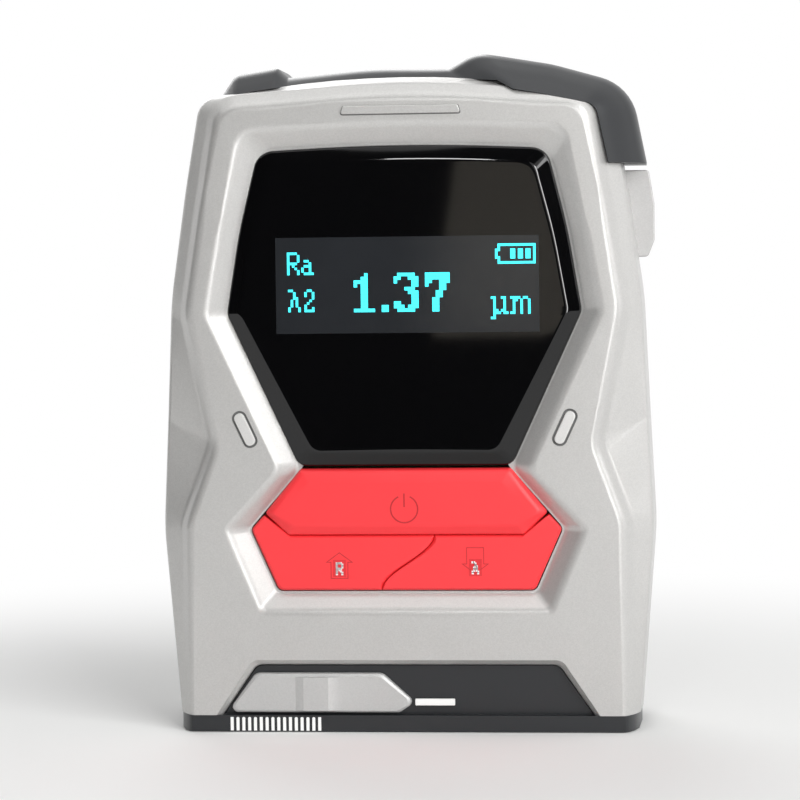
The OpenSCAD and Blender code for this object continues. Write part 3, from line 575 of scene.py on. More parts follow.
def circle(x: float, z: float, across: float, steps: int = 24) -> Array:
    """Round outline about a point."""
    angle = np.linspace(0, 2 * math.pi, steps, endpoint=False)
    return np.column_stack([x + across / 2 * np.cos(angle), z + across / 2 * np.sin(angle)])


def box_surface(low: tuple[float, float, float], high: tuple[float, float, float]) -> Surface:
    """Closed box between two corners."""
    loop = np.array([[low[0], low[2]], [high[0], low[2]], [high[0], high[2]], [low[0], high[2]]])
    return prism(loop, low[1], high[1])


def mesh_surface(mesh: bpy.types.Mesh) -> Surface:
    """A mesh as a surface in millimetres.

    Args:
        mesh: the mesh, in metres.

    Returns:
        Its points and faces.
    """
    points = np.empty(len(mesh.vertices) * 3, np.float32)
    mesh.vertices.foreach_get("co", points)
    return Surface(points.reshape(-1, 3).astype(float) / MM, [list(face.vertices) for face in mesh.polygons])


@dataclass(frozen=True)
class Form:
    """Planes, levels and outlines that the housing's pieces share."""

    half_w: float
    front_y: float
    parting_y: float
    back_y: float
    foot_h: float
    crown_z: float
    wall: float = 2.2
    crown_r: float = 150.0
    recess_depth: float = 1.9
    front_wall: float = 3.1
    swell_z: float = 30.0
    waist_z: float = 42.5
    brow_z: float = 62.0
    shoulder_drop: float = 3.2
    side_lean: float = 6.4
    face_drop: float = 1.6
    face_margin: float = 4.9
    face_lean: float = 10.2
    face_below_crown: float = 3.8
    window_below_face: float = 7.6
    window_wide_below: float = 24.2
    window_arch_r: float = 300.0
    window_edge_drop: float = 0.4
    keys_gap: float = 0.5
    scoop: float = 4.2
    window_half: float = 26.2
    window_top_half: float = 21.3
    window_low_half: float = 15.8
    window_swell: float = 0.45
    window_arch: float = 0.7
    keys_low: float = 20.9
    keys_tip: float = 29.9
    keys_top: float = 38.7
    keys_half: float = 22.9
    cutout_half: float = 22.4
    cutout_top_z: float = 9.8
    cutout_flare: float = 0.69

    @classmethod
    def from_frame(cls) -> "Form":
        """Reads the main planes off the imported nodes.

        Returns:
            The form that fits the frame.
        """
        bar_rise, bumper_rise, swell_loss = 0.4, 2.6, 0.15
        front, back = node_box("front_shell")
        return cls(half_w=round(float(back[0]) + swell_loss, 1), front_y=float(front[1]) + bar_rise,
                   parting_y=float(back[1]), back_y=float(node_box("back_shell")[1][1]),
                   foot_h=float(front[2]), crown_z=float(node_box("top_bumper")[1][2]) - bumper_rise)

    @property
    def floor_y(self) -> float:
        """Depth of the recess floor."""
        return self.front_y + self.recess_depth

    @property
    def inner_y(self) -> float:
        """Depth of the front wall's inner face."""
        return self.front_y + self.front_wall

    @property
    def face_top(self) -> float:
        """Half width of the flat face at its top."""
        return self.half_w - self.face_lean

    @property
    def side_top(self) -> float:
        """Half width of the side walls at the crown."""
        return self.half_w - self.side_lean

    @property
    def face_top_z(self) -> float:
        """Top of the flat face at mid width."""
        return self.crown_z - self.face_below_crown

    @property
    def window_top_z(self) -> float:
        """Top of the window at mid width."""
        return self.face_top_z - self.window_below_face

    @property
    def window_wide_z(self) -> float:
        """Level at which the window is widest."""
        return self.window_top_z - self.window_wide_below

    @property
    def window_mid_z(self) -> float:
        """Level half way up the window's sides."""
        return (self.window_wide_z + self.window_top_z) / 2

    @property
    def window_mid_half(self) -> float:
        """Half width there, where the sides swell a little."""
        return (self.window_half + self.window_top_half) / 2 + self.window_swell

    def crown_loss(self, half: float, drop: float) -> float:
        """Height that the crown's arc loses against its vertex."""
        return self.crown_r * (1 / math.cos(math.atan2(drop, half)) - 1)

    def face(self, grow: float, lift: float = 0.0) -> Array:
        """Outline of the flat face, hourglass at the finger grips.

        Args:
            grow: distance by which it is set out.
            lift: distance by which its top edge is raised.

        Returns:
            Rows of x and z.
        """
        low = self.half_w - self.face_margin
        top = self.face_top
        return corner_loop(mirrored([
            (low + grow, 0, 0.3),
            (low + grow, self.swell_z + 1, 7),
            (low - self.scoop + grow, self.waist_z, 6),
            (low - 0.2 + grow, self.brow_z, 9),
            ((low + top) / 2 + grow, (self.brow_z + self.face_top_z) / 2, 200),
            (top + grow, self.face_top_z - self.face_drop + lift, 3.5 + grow),
            (0, self.face_top_z + lift + self.crown_loss(top, self.face_drop), self.crown_r)]))

    def side(self, inset: float, drop: float = 0.0) -> Array:
        """Outline of the side walls, set in by a distance."""
        top = self.side_top
        return corner_loop(mirrored([
            (self.half_w - 2.5 - inset, 0, 0.3),
            (self.half_w - 0.1 - inset, self.swell_z, 40),
            (self.half_w - 0.9 - inset, (self.swell_z + self.brow_z) / 2, 60),
            (self.half_w - 1.7 - inset, self.brow_z + 2, 60),
            ((self.half_w - 1.6 + top) / 2 - inset, (self.brow_z + self.crown_z) / 2, 200),
            (top - inset, self.crown_z - self.shoulder_drop - inset - drop, max(4 - inset, 0.8)),
            (0, self.crown_z - inset - drop + self.crown_loss(top, self.shoulder_drop), self.crown_r)]))

    def hourglass(self, window_grow: float, keys_grow: float) -> Array:
        """Outline round window and keypad; its neck is where their slanted edges cross.

        Args:
            window_grow: distance by which it is set out round the window.
            keys_grow: distance by which it is set out round the keys.

        Returns:
            Rows of x and z.
        """
        tip = np.array([self.keys_half + keys_grow * 1.15, self.keys_tip])
        keys_end = np.array([self.keys_half - 11 + keys_grow * 0.9, self.keys_top + 4])
        wide = np.array([self.window_half + window_grow * 0.9, self.window_wide_z])
        low = np.array([self.window_low_half + window_grow * 0.6, self.keys_top + self.keys_gap - window_grow * 0.7])
        ways = np.column_stack([keys_end - tip, wide - low])
        neck = tip + (keys_end - tip) * np.linalg.solve(ways, wide - tip)[0]
        return corner_loop(mirrored([
            (self.keys_half - 4 + keys_grow * 0.85, self.keys_low - keys_grow, 1.2),
            (tip[0], tip[1], 1.2),
            (neck[0], neck[1], 2.0),
            (wide[0], wide[1], 2.5),
            (self.window_mid_half + window_grow * 0.85, self.window_mid_z, 80),
            (self.window_top_half + window_grow * 0.8, self.window_top_z - self.window_edge_drop + window_grow, 3),
            (0, self.window_top_z + self.window_arch + window_grow, self.window_arch_r)]))

    def window(self, inset: float) -> Array:
        """Outline of the window, set in by a distance; its arch tightens with its width."""
        arch_r = self.window_arch_r * (1 - inset / self.window_top_half) ** 2
        return corner_loop(mirrored([
            (self.window_low_half - inset, self.keys_top + self.keys_gap + inset, 2),
            (self.window_half - inset, self.window_wide_z, 2.5),
            (self.window_mid_half - inset, self.window_mid_z - inset / 2, 80),
            (self.window_top_half - inset, self.window_top_z - self.window_edge_drop - inset, 3),
            (0, self.window_top_z + self.window_arch - inset, arch_r)]), run=8)

    def cutout(self, grow: float) -> Array:
        """Outline of the cut-out over the foot, set out by a distance."""
        return corner_loop(mirrored([
            (self.cutout_half + self.cutout_flare * (self.cutout_top_z - 0.4) + grow, 0.4, 0.2),
            (self.cutout_half + grow * 0.6, self.cutout_top_z + grow, 1.8)]))


@dataclass
class Bumper:
    """Black bumper let into the top edge, with a lug that wraps the right corner."""

    form: Form
    low: float = 74.0
    lug_low: float = 83.3
    rise: float = 2.6
    seat: float = 1.2
    gap: float = 0.06
    step_x: float = 13.9

    def step_z(self) -> float:
        """Level at which the step down to the corner lug starts."""
        return float(self.top_at(self.step_x)) - self.seat

    def top_at(self, x: float | Array) -> float | Array:
        """Level of the housing's crown at a width."""
        return self.form.crown_z - self.form.shoulder_drop * (x / self.form.side_top) ** 2

    def crest(self) -> Array:
        """Outline of the crest, from the right lug over the top to the left one.

        Returns:
            Rows of x and z.
        """
        f = self.form
        top = f.crown_z + self.rise
        return corner_loop(np.array([
            (-20, self.low, 0.5), (28, self.low, 0.5), (f.half_w - 1.2, self.lug_low, 0.5),
            (f.side_top + 2.9, f.crown_z - 2.6, 7.5), (22, top - 1.9, 24), (14.5, top - 0.6, 14), (10.6, top, 6),
            (6.6, self.top_at(6.6) + 0.4, 1.6), (-5, f.crown_z + 0.5, 60), (-17.3, self.top_at(-17.3) + 0.4, 0.6),
            (-19, f.crown_z + 0.9, 1.0), (-25.3, f.crown_z - 0.1, 1.6), (-27.2, self.top_at(-27.2) - 0.4, 0.4)]))

    def front(self) -> Array:
        """Outline of the front edge, corner for corner as the crest's.

        Returns:
            Rows of x and z.
        """
        f = self.form
        z = f.face_top_z
        return corner_loop(np.array([
            (-20, self.low, 0.5), (28, self.low, 0.5), (f.side_top - 1.3, self.lug_low, 0.5),
            (f.face_top + 0.9, z - 2.2, 2.6), (24, z - 1.1, 10), (20.4, z - 0.35, 8), (16.8, z + 0.3, 1),
            (15, z - 2, 1), (-5, z - 1.6, 60), (-17.3, z - 2, 4), (-19, z - 2.2, 10), (-24, z - 3, 1),
            (-25.4, z - 4.2, 0.4)]))

    def lug_line(self, back_off: float = 0.0) -> list[tuple[float, float, float]]:
        """Line along which the shell's face meets the corner lug.

        Args:
            back_off: distance by which it is drawn down and to the left.

        Returns:
            Its corners as x, z and radius.
        """
        f = self.form
        line = np.array([(16.4, f.face_top_z + 0.55, SHARP_R), (20.4, f.face_top_z - 0.15, SHARP_R),
                         (f.face_top + 1.6, f.face_top_z - 1.8, 2.2), (f.side_top - 0.4, self.lug_low, SHARP_R)])
        return [tuple(row) for row in (line - [back_off, back_off, 0]).tolist()]

    def shell_cut(self) -> Surface:
        """What the front shell leaves free for the corner lug.

        Returns:
            The cutter.
        """
        f = self.form
        far, high, low = f.half_w + 5, f.crown_z + 8, self.lug_low - self.gap
        loop = corner_loop(np.array(self.lug_line(self.gap) + [
            (far, low, SHARP_R), (far, high, SHARP_R), (self.step_x, high, SHARP_R),
            (self.step_x, self.step_z(), SHARP_R)]), arc=4, run=1)
        return prism(loop, f.front_y - 1, f.parting_y + 1)

    def seats(self) -> list[Surface]:
        """What the bumper leaves free for the shells it sits on.

        Returns:
            The cutters, from the front wall to the room below.
        """
        f = self.form
        z, deep = f.face_top_z, self.low - 2
        step = self.step_x + self.gap
        front = corner_loop(np.array([(step, self.step_z() + self.gap, SHARP_R)] + self.lug_line() + [
            (f.side_top - 0.4, deep, SHARP_R), (step, deep, SHARP_R)]), arc=4, run=1)
        x = np.linspace(-f.side_top - 4, 14, 13)
        line = np.column_stack([x, self.top_at(x) - self.seat, np.full(len(x), SHARP_R)]).tolist()
        full = corner_loop(np.array(line + [
            (14.3, z - 0.6, SHARP_R), (16.2, z - 2.2, SHARP_R), (f.face_top + 0.2, z - 2.7, 2.6),
            (f.side_top - 1.2, self.lug_low, SHARP_R), (f.side_top - 1.2, deep, SHARP_R), (x[0], deep, SHARP_R)]),
            arc=4, run=1)
        return [prism(front, f.front_y - 1, f.inner_y + 0.3), prism(full, f.front_y - 1, f.back_y + 1),
                box_surface((-50, f.front_y - 1, self.low - 1), (50, f.back_y, self.lug_low))]

    def build(self) -> Thing:
        """Sweeps the bumper from its front edge over a soft crest to its back.

        Returns:
            The bumper's skin.
        """
        f = self.form
        front_y, crest_y = f.front_y + 0.6, f.front_y + 7
        front, crest = self.front(), self.crest()
        rows = np.stack([
            at_depth(front, front_y), at_depth((front + crest) / 2, front_y + (crest_y - front_y) * 0.36),
            at_depth(crest, crest_y), at_depth(crest, f.back_y - 6)])
        skin = Piece("top_bumper_skin", BLACK_TRIM, "housing", "black_trim",
                     [skinned(rounded_rows(rows, [0, 2.4, 1.8, 0], 8))], ("top_bumper",)).build()
        carve(skin, self.seats())
        return skin


@dataclass
class Housing:
    """Front and back shell, top bumper, and the posts and wells for the case screws."""

    form: Form
    bar_half: float = 8.8
    bar_h: float = 1.2
    bar_drop: float = 2.2
    bar_rise: float = 0.4
    pill_x: float = 23.55
    pill_z: float = 44.8
    pill_l: float = 4.9
    pill_w: float = 1.35
    pill_lean_deg: float = 25.0
    pill_rise: float = 0.2
    groove_w: float = 0.45
    groove_depth: float = 0.3
    socket_gap: float = 0.2
    socket_end: float = -28.5
    case_posts: tuple[tuple[float, float], ...] = ((28.5, 26.0), (-28.5, 26.0), (25.5, 86.5), (-25.5, 86.5))
    board_posts: tuple[tuple[float, float], ...] = ((-22.0, 17.5), (-18.5, 87.6), (22.0, 17.5), (18.5, 87.6))

    def build(self) -> None:
        """Builds and dresses every piece of the housing."""
        bumper = Bumper(self.form)
        seat = mesh_surface(bumper.build().data)
        low, high = node_box("charge_socket") + np.array([[-self.socket_gap], [self.socket_gap]])
        socket = box_surface((-self.form.half_w - 1, low[1], low[2]), (self.socket_end, high[1], high[2]))
        self.front_shell([bumper.shell_cut(), seat, socket])
        self.posts()
        self.back_shell([seat, socket])

    def pill(self, side: int, grow: float) -> Array:
        """Leaning pill outline.

        Args:
            side: -1 for the left pill and 1 for the right one.
            grow: distance by which it is set out.

        Returns:
            Rows of x and z.
        """
        corner = np.array([self.pill_w, self.pill_l]) / 2 + grow
        radius = corner[0] - 0.05
        lean = math.radians(self.pill_lean_deg) * side
        turn = np.array([[math.cos(lean), -math.sin(lean)], [math.sin(lean), math.cos(lean)]])
        return plate(-corner, corner, radius, radius, 8, 4) @ turn + [side * self.pill_x, self.pill_z]

    def bar(self, grow: float) -> Array:
        """Outline of the raised bar.

        Args:
            grow: distance by which it is set out.

        Returns:
            Rows of x and z.
        """
        z = self.form.face_top_z - self.bar_drop
        h, half, slant, radius = self.bar_h / 2 + grow, self.bar_half + grow, 0.4, 0.3
        return corner_loop(np.array([(-half, z - h, radius), (half, z - h, radius),
                                     (half - slant, z + h, radius), (-half + slant, z + h, radius)]))

    def raised(self, rim: Array, top: Array, rise: float) -> Surface:
        """Low pad on the face with a rounded rim.

        Args:
            rim: its full outline.
            top: the outline of its top.
            rise: its height.

        Returns:
            The closed surface.
        """
        face = self.form.front_y
        rows = np.stack([at_depth(rim, face + 0.6), at_depth(rim, face - rise), at_depth(top, face - rise)])
        return skinned(rounded_rows(rows, [0, 0.16, 0], 4))

    def front_shell(self, rooms: list[Surface]) -> None:
        """Front shell: one closed skin over the side, the face, the recess and the inner wall.

        Args:
            rooms: what it leaves free for bumper and socket.
        """
        f = self.form
        slope = 3.0
        rows = np.stack([
            at_depth(f.side(0), f.parting_y),
            at_depth(f.side(0.45, 0.15), f.front_y + 4),
            at_depth(f.face(1.3, 1.8), f.front_y + 1.9),
            at_depth(f.face(0), f.front_y),
            at_depth(f.hourglass(slope, slope), f.front_y),
            at_depth(f.hourglass(0.12, 0.6), f.floor_y),
            at_depth(f.hourglass(-1.6, 0.25), f.floor_y),
            at_depth(f.hourglass(-1.6, 0.25), f.inner_y),
            at_depth(f.face(-1.6, -1.2), f.inner_y),
            at_depth(f.side(f.wall + 0.6), f.inner_y + 2.6),
            at_depth(f.side(f.wall), f.parting_y)])
        reach = [0, 0.6, 0.5, 1.0, 0.9, 0.35, 0, 0, 0, 0, 0]
        skin = Piece("front_shell_skin", SILVER, "housing", "silver_shell",
                     [skinned(rounded_rows(rows, reach), ring=True)], ("front_shell",)).build()
        bevel = rounded_rows(np.stack([
            at_depth(f.cutout(1.5), f.front_y - 0.7), at_depth(f.cutout(0), f.front_y + 0.9),
            at_depth(f.cutout(0), f.inner_y + 1)]), [0, 0.5, 0])
        pills = [prism(self.pill(s, self.groove_w), f.front_y - 1, f.front_y + self.groove_depth) for s in (-1, 1)]
        below = box_surface((-50, f.front_y - 5, -5), (50, f.back_y, f.foot_h))
        carve(skin, [below, skinned(bevel)] + rooms + pills)
        self.face_marks()

    def face_marks(self) -> None:
        """Raised bar and pills on the face, with dark lines of painted shade round them."""
        face, floor = self.form.front_y, self.form.front_y + self.groove_depth
        Piece("face_bar", SILVER, "housing", "silver_shell",
              [self.raised(self.bar(0), self.bar(-0.2), self.bar_rise)], shading=Shading.SOFT).build()
        pills = [self.raised(self.pill(s, 0.1), self.pill(s, -0.15), self.pill_rise) for s in (-1, 1)]
        # The pills take the paler lacquer: a painted highlight.
        Piece("face_pills", SILVER_PAINTED_HIGHLIGHT, "housing", "silver_shell", pills, shading=Shading.SOFT).build()
        # Dark grey strips at the bottom of the pill grooves: painted shade.
        lines = [tube(self.pill(s, self.groove_w), self.pill(s, 0), floor - 0.03, floor + 0.1) for s in (-1, 1)]
        # The line round the bar is set down and to the right, so it is widest under the bar and at its right end: a
        # painted shadow.
        lines.append(tube(self.bar(0.1) + [0.02, -0.07], self.bar(-0.1), face - 0.02, face + 0.1))
        Piece("face_groove_painted_shade", GROOVE_PAINTED_SHADE, "housing", "silver_shell", lines).build()

    def posts(self) -> None:
        """Screw posts inside the front shell; the last two stand upright for the foot's screws."""
        f = self.form
        start = f.inner_y - 0.1
        posts = [tube(circle(x, z, 5.5), circle(x, z, 2.1), start, f.parting_y) for x, z in self.case_posts]
        posts += [tube(circle(x, z, 4.0), circle(x, z, 1.7), start, f.inner_y + 3.2) for x, z in self.board_posts]
        y = f.front_y + 5.3
        for x in (-f.side_top, f.side_top):
            upright = tube(circle(x, y, 4.0), circle(x, y, 1.9), f.foot_h, f.foot_h + 7)
            posts.append(Surface(upright.points[:, [0, 2, 1]], upright.faces))
        Piece("front_shell_posts", SILVER, "housing", "silver_shell", posts).build()

    def back_shell(self, rooms: list[Surface]) -> None:
        """Back shell: one smooth cup, with the lug, the posts and the battery tray in it.

        Args:
            rooms: what it leaves free for bumper and socket.
        """
        f = self.form
        inner_y = f.back_y - f.wall
        outer, inner, middle = f.side(4.6), f.side(f.wall + 2.4), np.array([0, 50.0])
        rows = np.stack([
            at_depth(middle + (outer - middle) * FAN, f.back_y),
            at_depth(outer, f.back_y),
            at_depth(f.side(3), f.back_y - 0.6),
            at_depth(f.side(1.4), f.back_y - 2),
            at_depth(f.side(0.2), f.back_y - 5.5),
            at_depth(f.side(0), f.parting_y),
            at_depth(f.side(f.wall), f.parting_y),
            at_depth(f.side(f.wall + 0.4), f.back_y - 4.2),
            at_depth(inner, inner_y),
            at_depth(middle + (inner - middle) * FAN, inner_y)])
        skin = Piece("back_shell_skin", SHADED_SILVER_BACK, "housing", "silver_shell",
                     [skinned(rounded_rows(rows, [0, 0.8, 0.8, 1.2, 1.7, 0, 0, 0, 0, 0]))], ("back_shell",)).build()
        wells = [prism(circle(x, z, 5.0), f.back_y - 3, f.back_y + 1) for x, z in self.case_posts]
        wells += [prism(circle(x, z, 2.6), f.parting_y - 1, f.back_y) for x, z in self.case_posts]
        carve(skin, [box_surface((-50, f.front_y, -5), (50, f.back_y + 5, f.foot_h))] + rooms + wells)
        lug = np.array([(32, 69.5, 0.2), (35.85, 69.5, 0.6), (36.85, 72, 1.2), (36.85, 77.4, 2), (36.05, 82.4, 0.6),
                        (31.5, 82.4, 0.2)])
        Piece("back_shell_lug", SHADED_SILVER_BACK, "housing", "silver_shell",
              [prism(corner_loop(lug, arc=4, run=1), f.parting_y, f.back_y - 6.5)], bevel_mm=0.4).build()
        inside = [tube(circle(x, z, 7.0), circle(x, z, 2.6), f.parting_y, f.back_y - 3) for x, z in self.case_posts]
        inside.append(tube(self.tray(1.4), self.tray(0.2), inner_y - 3.5, inner_y + 0.1))
        Piece("back_shell_posts", SHADED_SILVER_BACK, "housing", "silver_shell", inside).build()

    def tray(self, grow: float) -> Array:
        """Outline round the battery, set out by a distance."""
        low, high = (corner[[0, 2]] for corner in node_box("battery"))
        return plate(low - grow, high + grow, 1.5, 1.5)


GLYPHS = {
    "R": ("####.", "#...#", "#...#", "#...#", "####.", "#.#..", "#..#.", "#...#", "#...#"),
    "a": (".....", ".....", ".....", ".##..", "...#.", ".###.", "#..#.", "#..#.", ".####"),
    "lambda": ("##...", "..#..", "..#..", "..##.", ".#.#.", ".#.#.", ".#.#.", "#...#", "#...#"),
    "2": (".##.", "#..#", "#..#", "...#", "..#.", ".#..", "#...", "#..#", "####"),
    "1": ("...#..", "..##..", "####..", "#.##..", "..##..", "..##..", "..##..", "..##..", "..##..", "..##..",
          "######"),
    "point": ("##", "##"),
    "3": (".#####.", "##..###", "#....##", ".....##", "...###.", "....###", ".....##", ".....##", "##...##",
          "###.###", ".#####."),
    "7": ("#######", "#######", "##..###", "#...##.", "....##.", "...##..", "...##..", "..##...", "..##...",
          "..##...", "..##..."),
    "micro": ("##..##.", ".#...#.", ".#...#.", ".#...#.", ".#...#.", ".##.##.", ".###.##", ".#.....", "##....."),
    "m": ("####.##.", ".##.#..#", ".#..#..#", ".#..#..#", ".#..#..#", ".#..#..#", "##..#..#"),
    "battery": (".###############", ".#.............#", "##....##.##.##.#", "#.....##.##.##.#", "#.....##.##.##.#",
                "##....##.##.##.#", ".#.............#", ".###############"),
}


def tiles(glyph: str, left: float, top: float, pitch: float, front: float, depth: float = 0.04,
          weight: float = 0.98) -> Surface:
    """Square tiles for the set pixels of a glyph.

    Args:
        glyph: its name.
        left: x of its left edge.
        top: z of its upper edge.
        pitch: pixel spacing.
        front: depth y of the tiles' front.
        depth: their thickness.
        weight: size of a tile as a share of the pitch.

    Returns:
        One closed box a pixel.
    """
    rows = GLYPHS[glyph]
    wide = max(len(row) for row in rows)
    lit = np.array([[mark == "#" for mark in row.ljust(wide, ".")] for row in rows])
    row, column = np.nonzero(lit)
    corner = np.array([[0, 0, 0], [1, 0, 0], [1, 0, -1], [0, 0, -1], [0, 1, 0], [1, 1, 0], [1, 1, -1], [0, 1, -1]])
    size = np.array([pitch * weight, depth, pitch * weight])
    place = np.column_stack([left + column * pitch, np.full(len(row), front), top - row * pitch])
    points = (place[:, None, :] + corner * size).reshape(-1, 3)
    sides = np.array([[0, 3, 2, 1], [4, 5, 6, 7], [0, 1, 5, 4], [1, 2, 6, 5], [2, 3, 7, 6], [3, 0, 4, 7]])
    faces = (np.arange(len(row))[:, None, None] * 8 + sides).reshape(-1, 4)
    return Surface(points, faces.tolist())


def stroke(path: Array, width: float, front: float, depth: float, closed: bool = False) -> Surface:
    """Flat line of constant width along a path in x and z.

    The line's edges lie half its width to each side along the mean normal of its two neighbours.

    Args:
        path: rows of x and z.
        width: width of the line.
        front: depth y of its front.
        depth: its thickness.
        closed: whether the path returns to its start.

    Returns:
        The closed surface.
    """
    ahead = unit(np.roll(path, -1, axis=0) - path)
    behind = np.roll(ahead, 1, axis=0)
    if not closed:
        ahead[-1] = behind[-1]
        behind[0] = ahead[0]
    mean = ahead + behind
    normal = np.column_stack([-mean[:, 1], mean[:, 0]])
    normal = normal / np.maximum((normal ** 2).sum(axis=1, keepdims=True), 0.4) * width
    left, right = path + normal, path - normal
    section = np.stack([at_depth(left, front), at_depth(right, front), at_depth(right, front + depth),
                        at_depth(left, front + depth)], axis=1)
    return skinned(section, ring=closed)


@dataclass
class Display:
    """Glossy window with its lit pixels."""

    form: Form
    glass_set: float = 0.7
    bevel_w: float = 2.0
    bevel_depth: float = 0.7
    field_low: tuple[float, float] = (-18.7, 58.8)
    field_high: tuple[float, float] = (20.0, 72.9)
    small_pitch: float = 0.37
    large_pitch: float = 0.52
    small_signs: tuple[tuple[str, float, float], ...] = (
        ("R", -17.0, 70.75), ("a", -14.9, 70.75), ("lambda", -16.9, 65.3), ("2", -14.5, 65.3),
        ("battery", 13.6, 71.7), ("micro", 12.9, 64.0), ("m", 15.75, 64.0))
    large_signs: tuple[tuple[str, float, float], ...] = (
        ("1", -7.2, 67.6), ("point", -3.1, 62.92), ("3", -1.3, 67.6), ("7", 3.3, 67.6))

    def build(self) -> None:
        """Builds the window, the field behind it and the lit signs."""
        f = self.form
        front = f.front_y + self.glass_set
        inner, middle = f.window(self.bevel_w + 2), np.array([0, f.window_wide_z])
        rows = np.stack([
            at_depth(middle + (inner - middle) * FAN, front),
            at_depth(inner, front),
            at_depth(f.window(self.bevel_w), front),
            at_depth(f.window(0.1), front + self.bevel_depth),
            at_depth(f.window(0), f.floor_y)])
        Piece("display_window_glass", GLASS, "housing", "window", [skinned(rounded_rows(rows, [0, 0, 0.5, 0.3, 0]))],
              ("display_window",), Shading.SOFT).build()
        low, high = self.field_low, self.field_high
        Piece("display_field", DIM_PANEL, "housing", "panel",
              [box_surface((low[0], front - 0.01, low[1]), (high[0], front + 0.05, high[1]))]).build()
        signs = [tiles(*sign, pitch, front - 0.03) for group, pitch in (
            (self.small_signs, self.small_pitch), (self.large_signs, self.large_pitch)) for sign in group]
        Piece("display_signs", CYAN, "housing", "panel", signs, shading=Shading.CRISP).build()


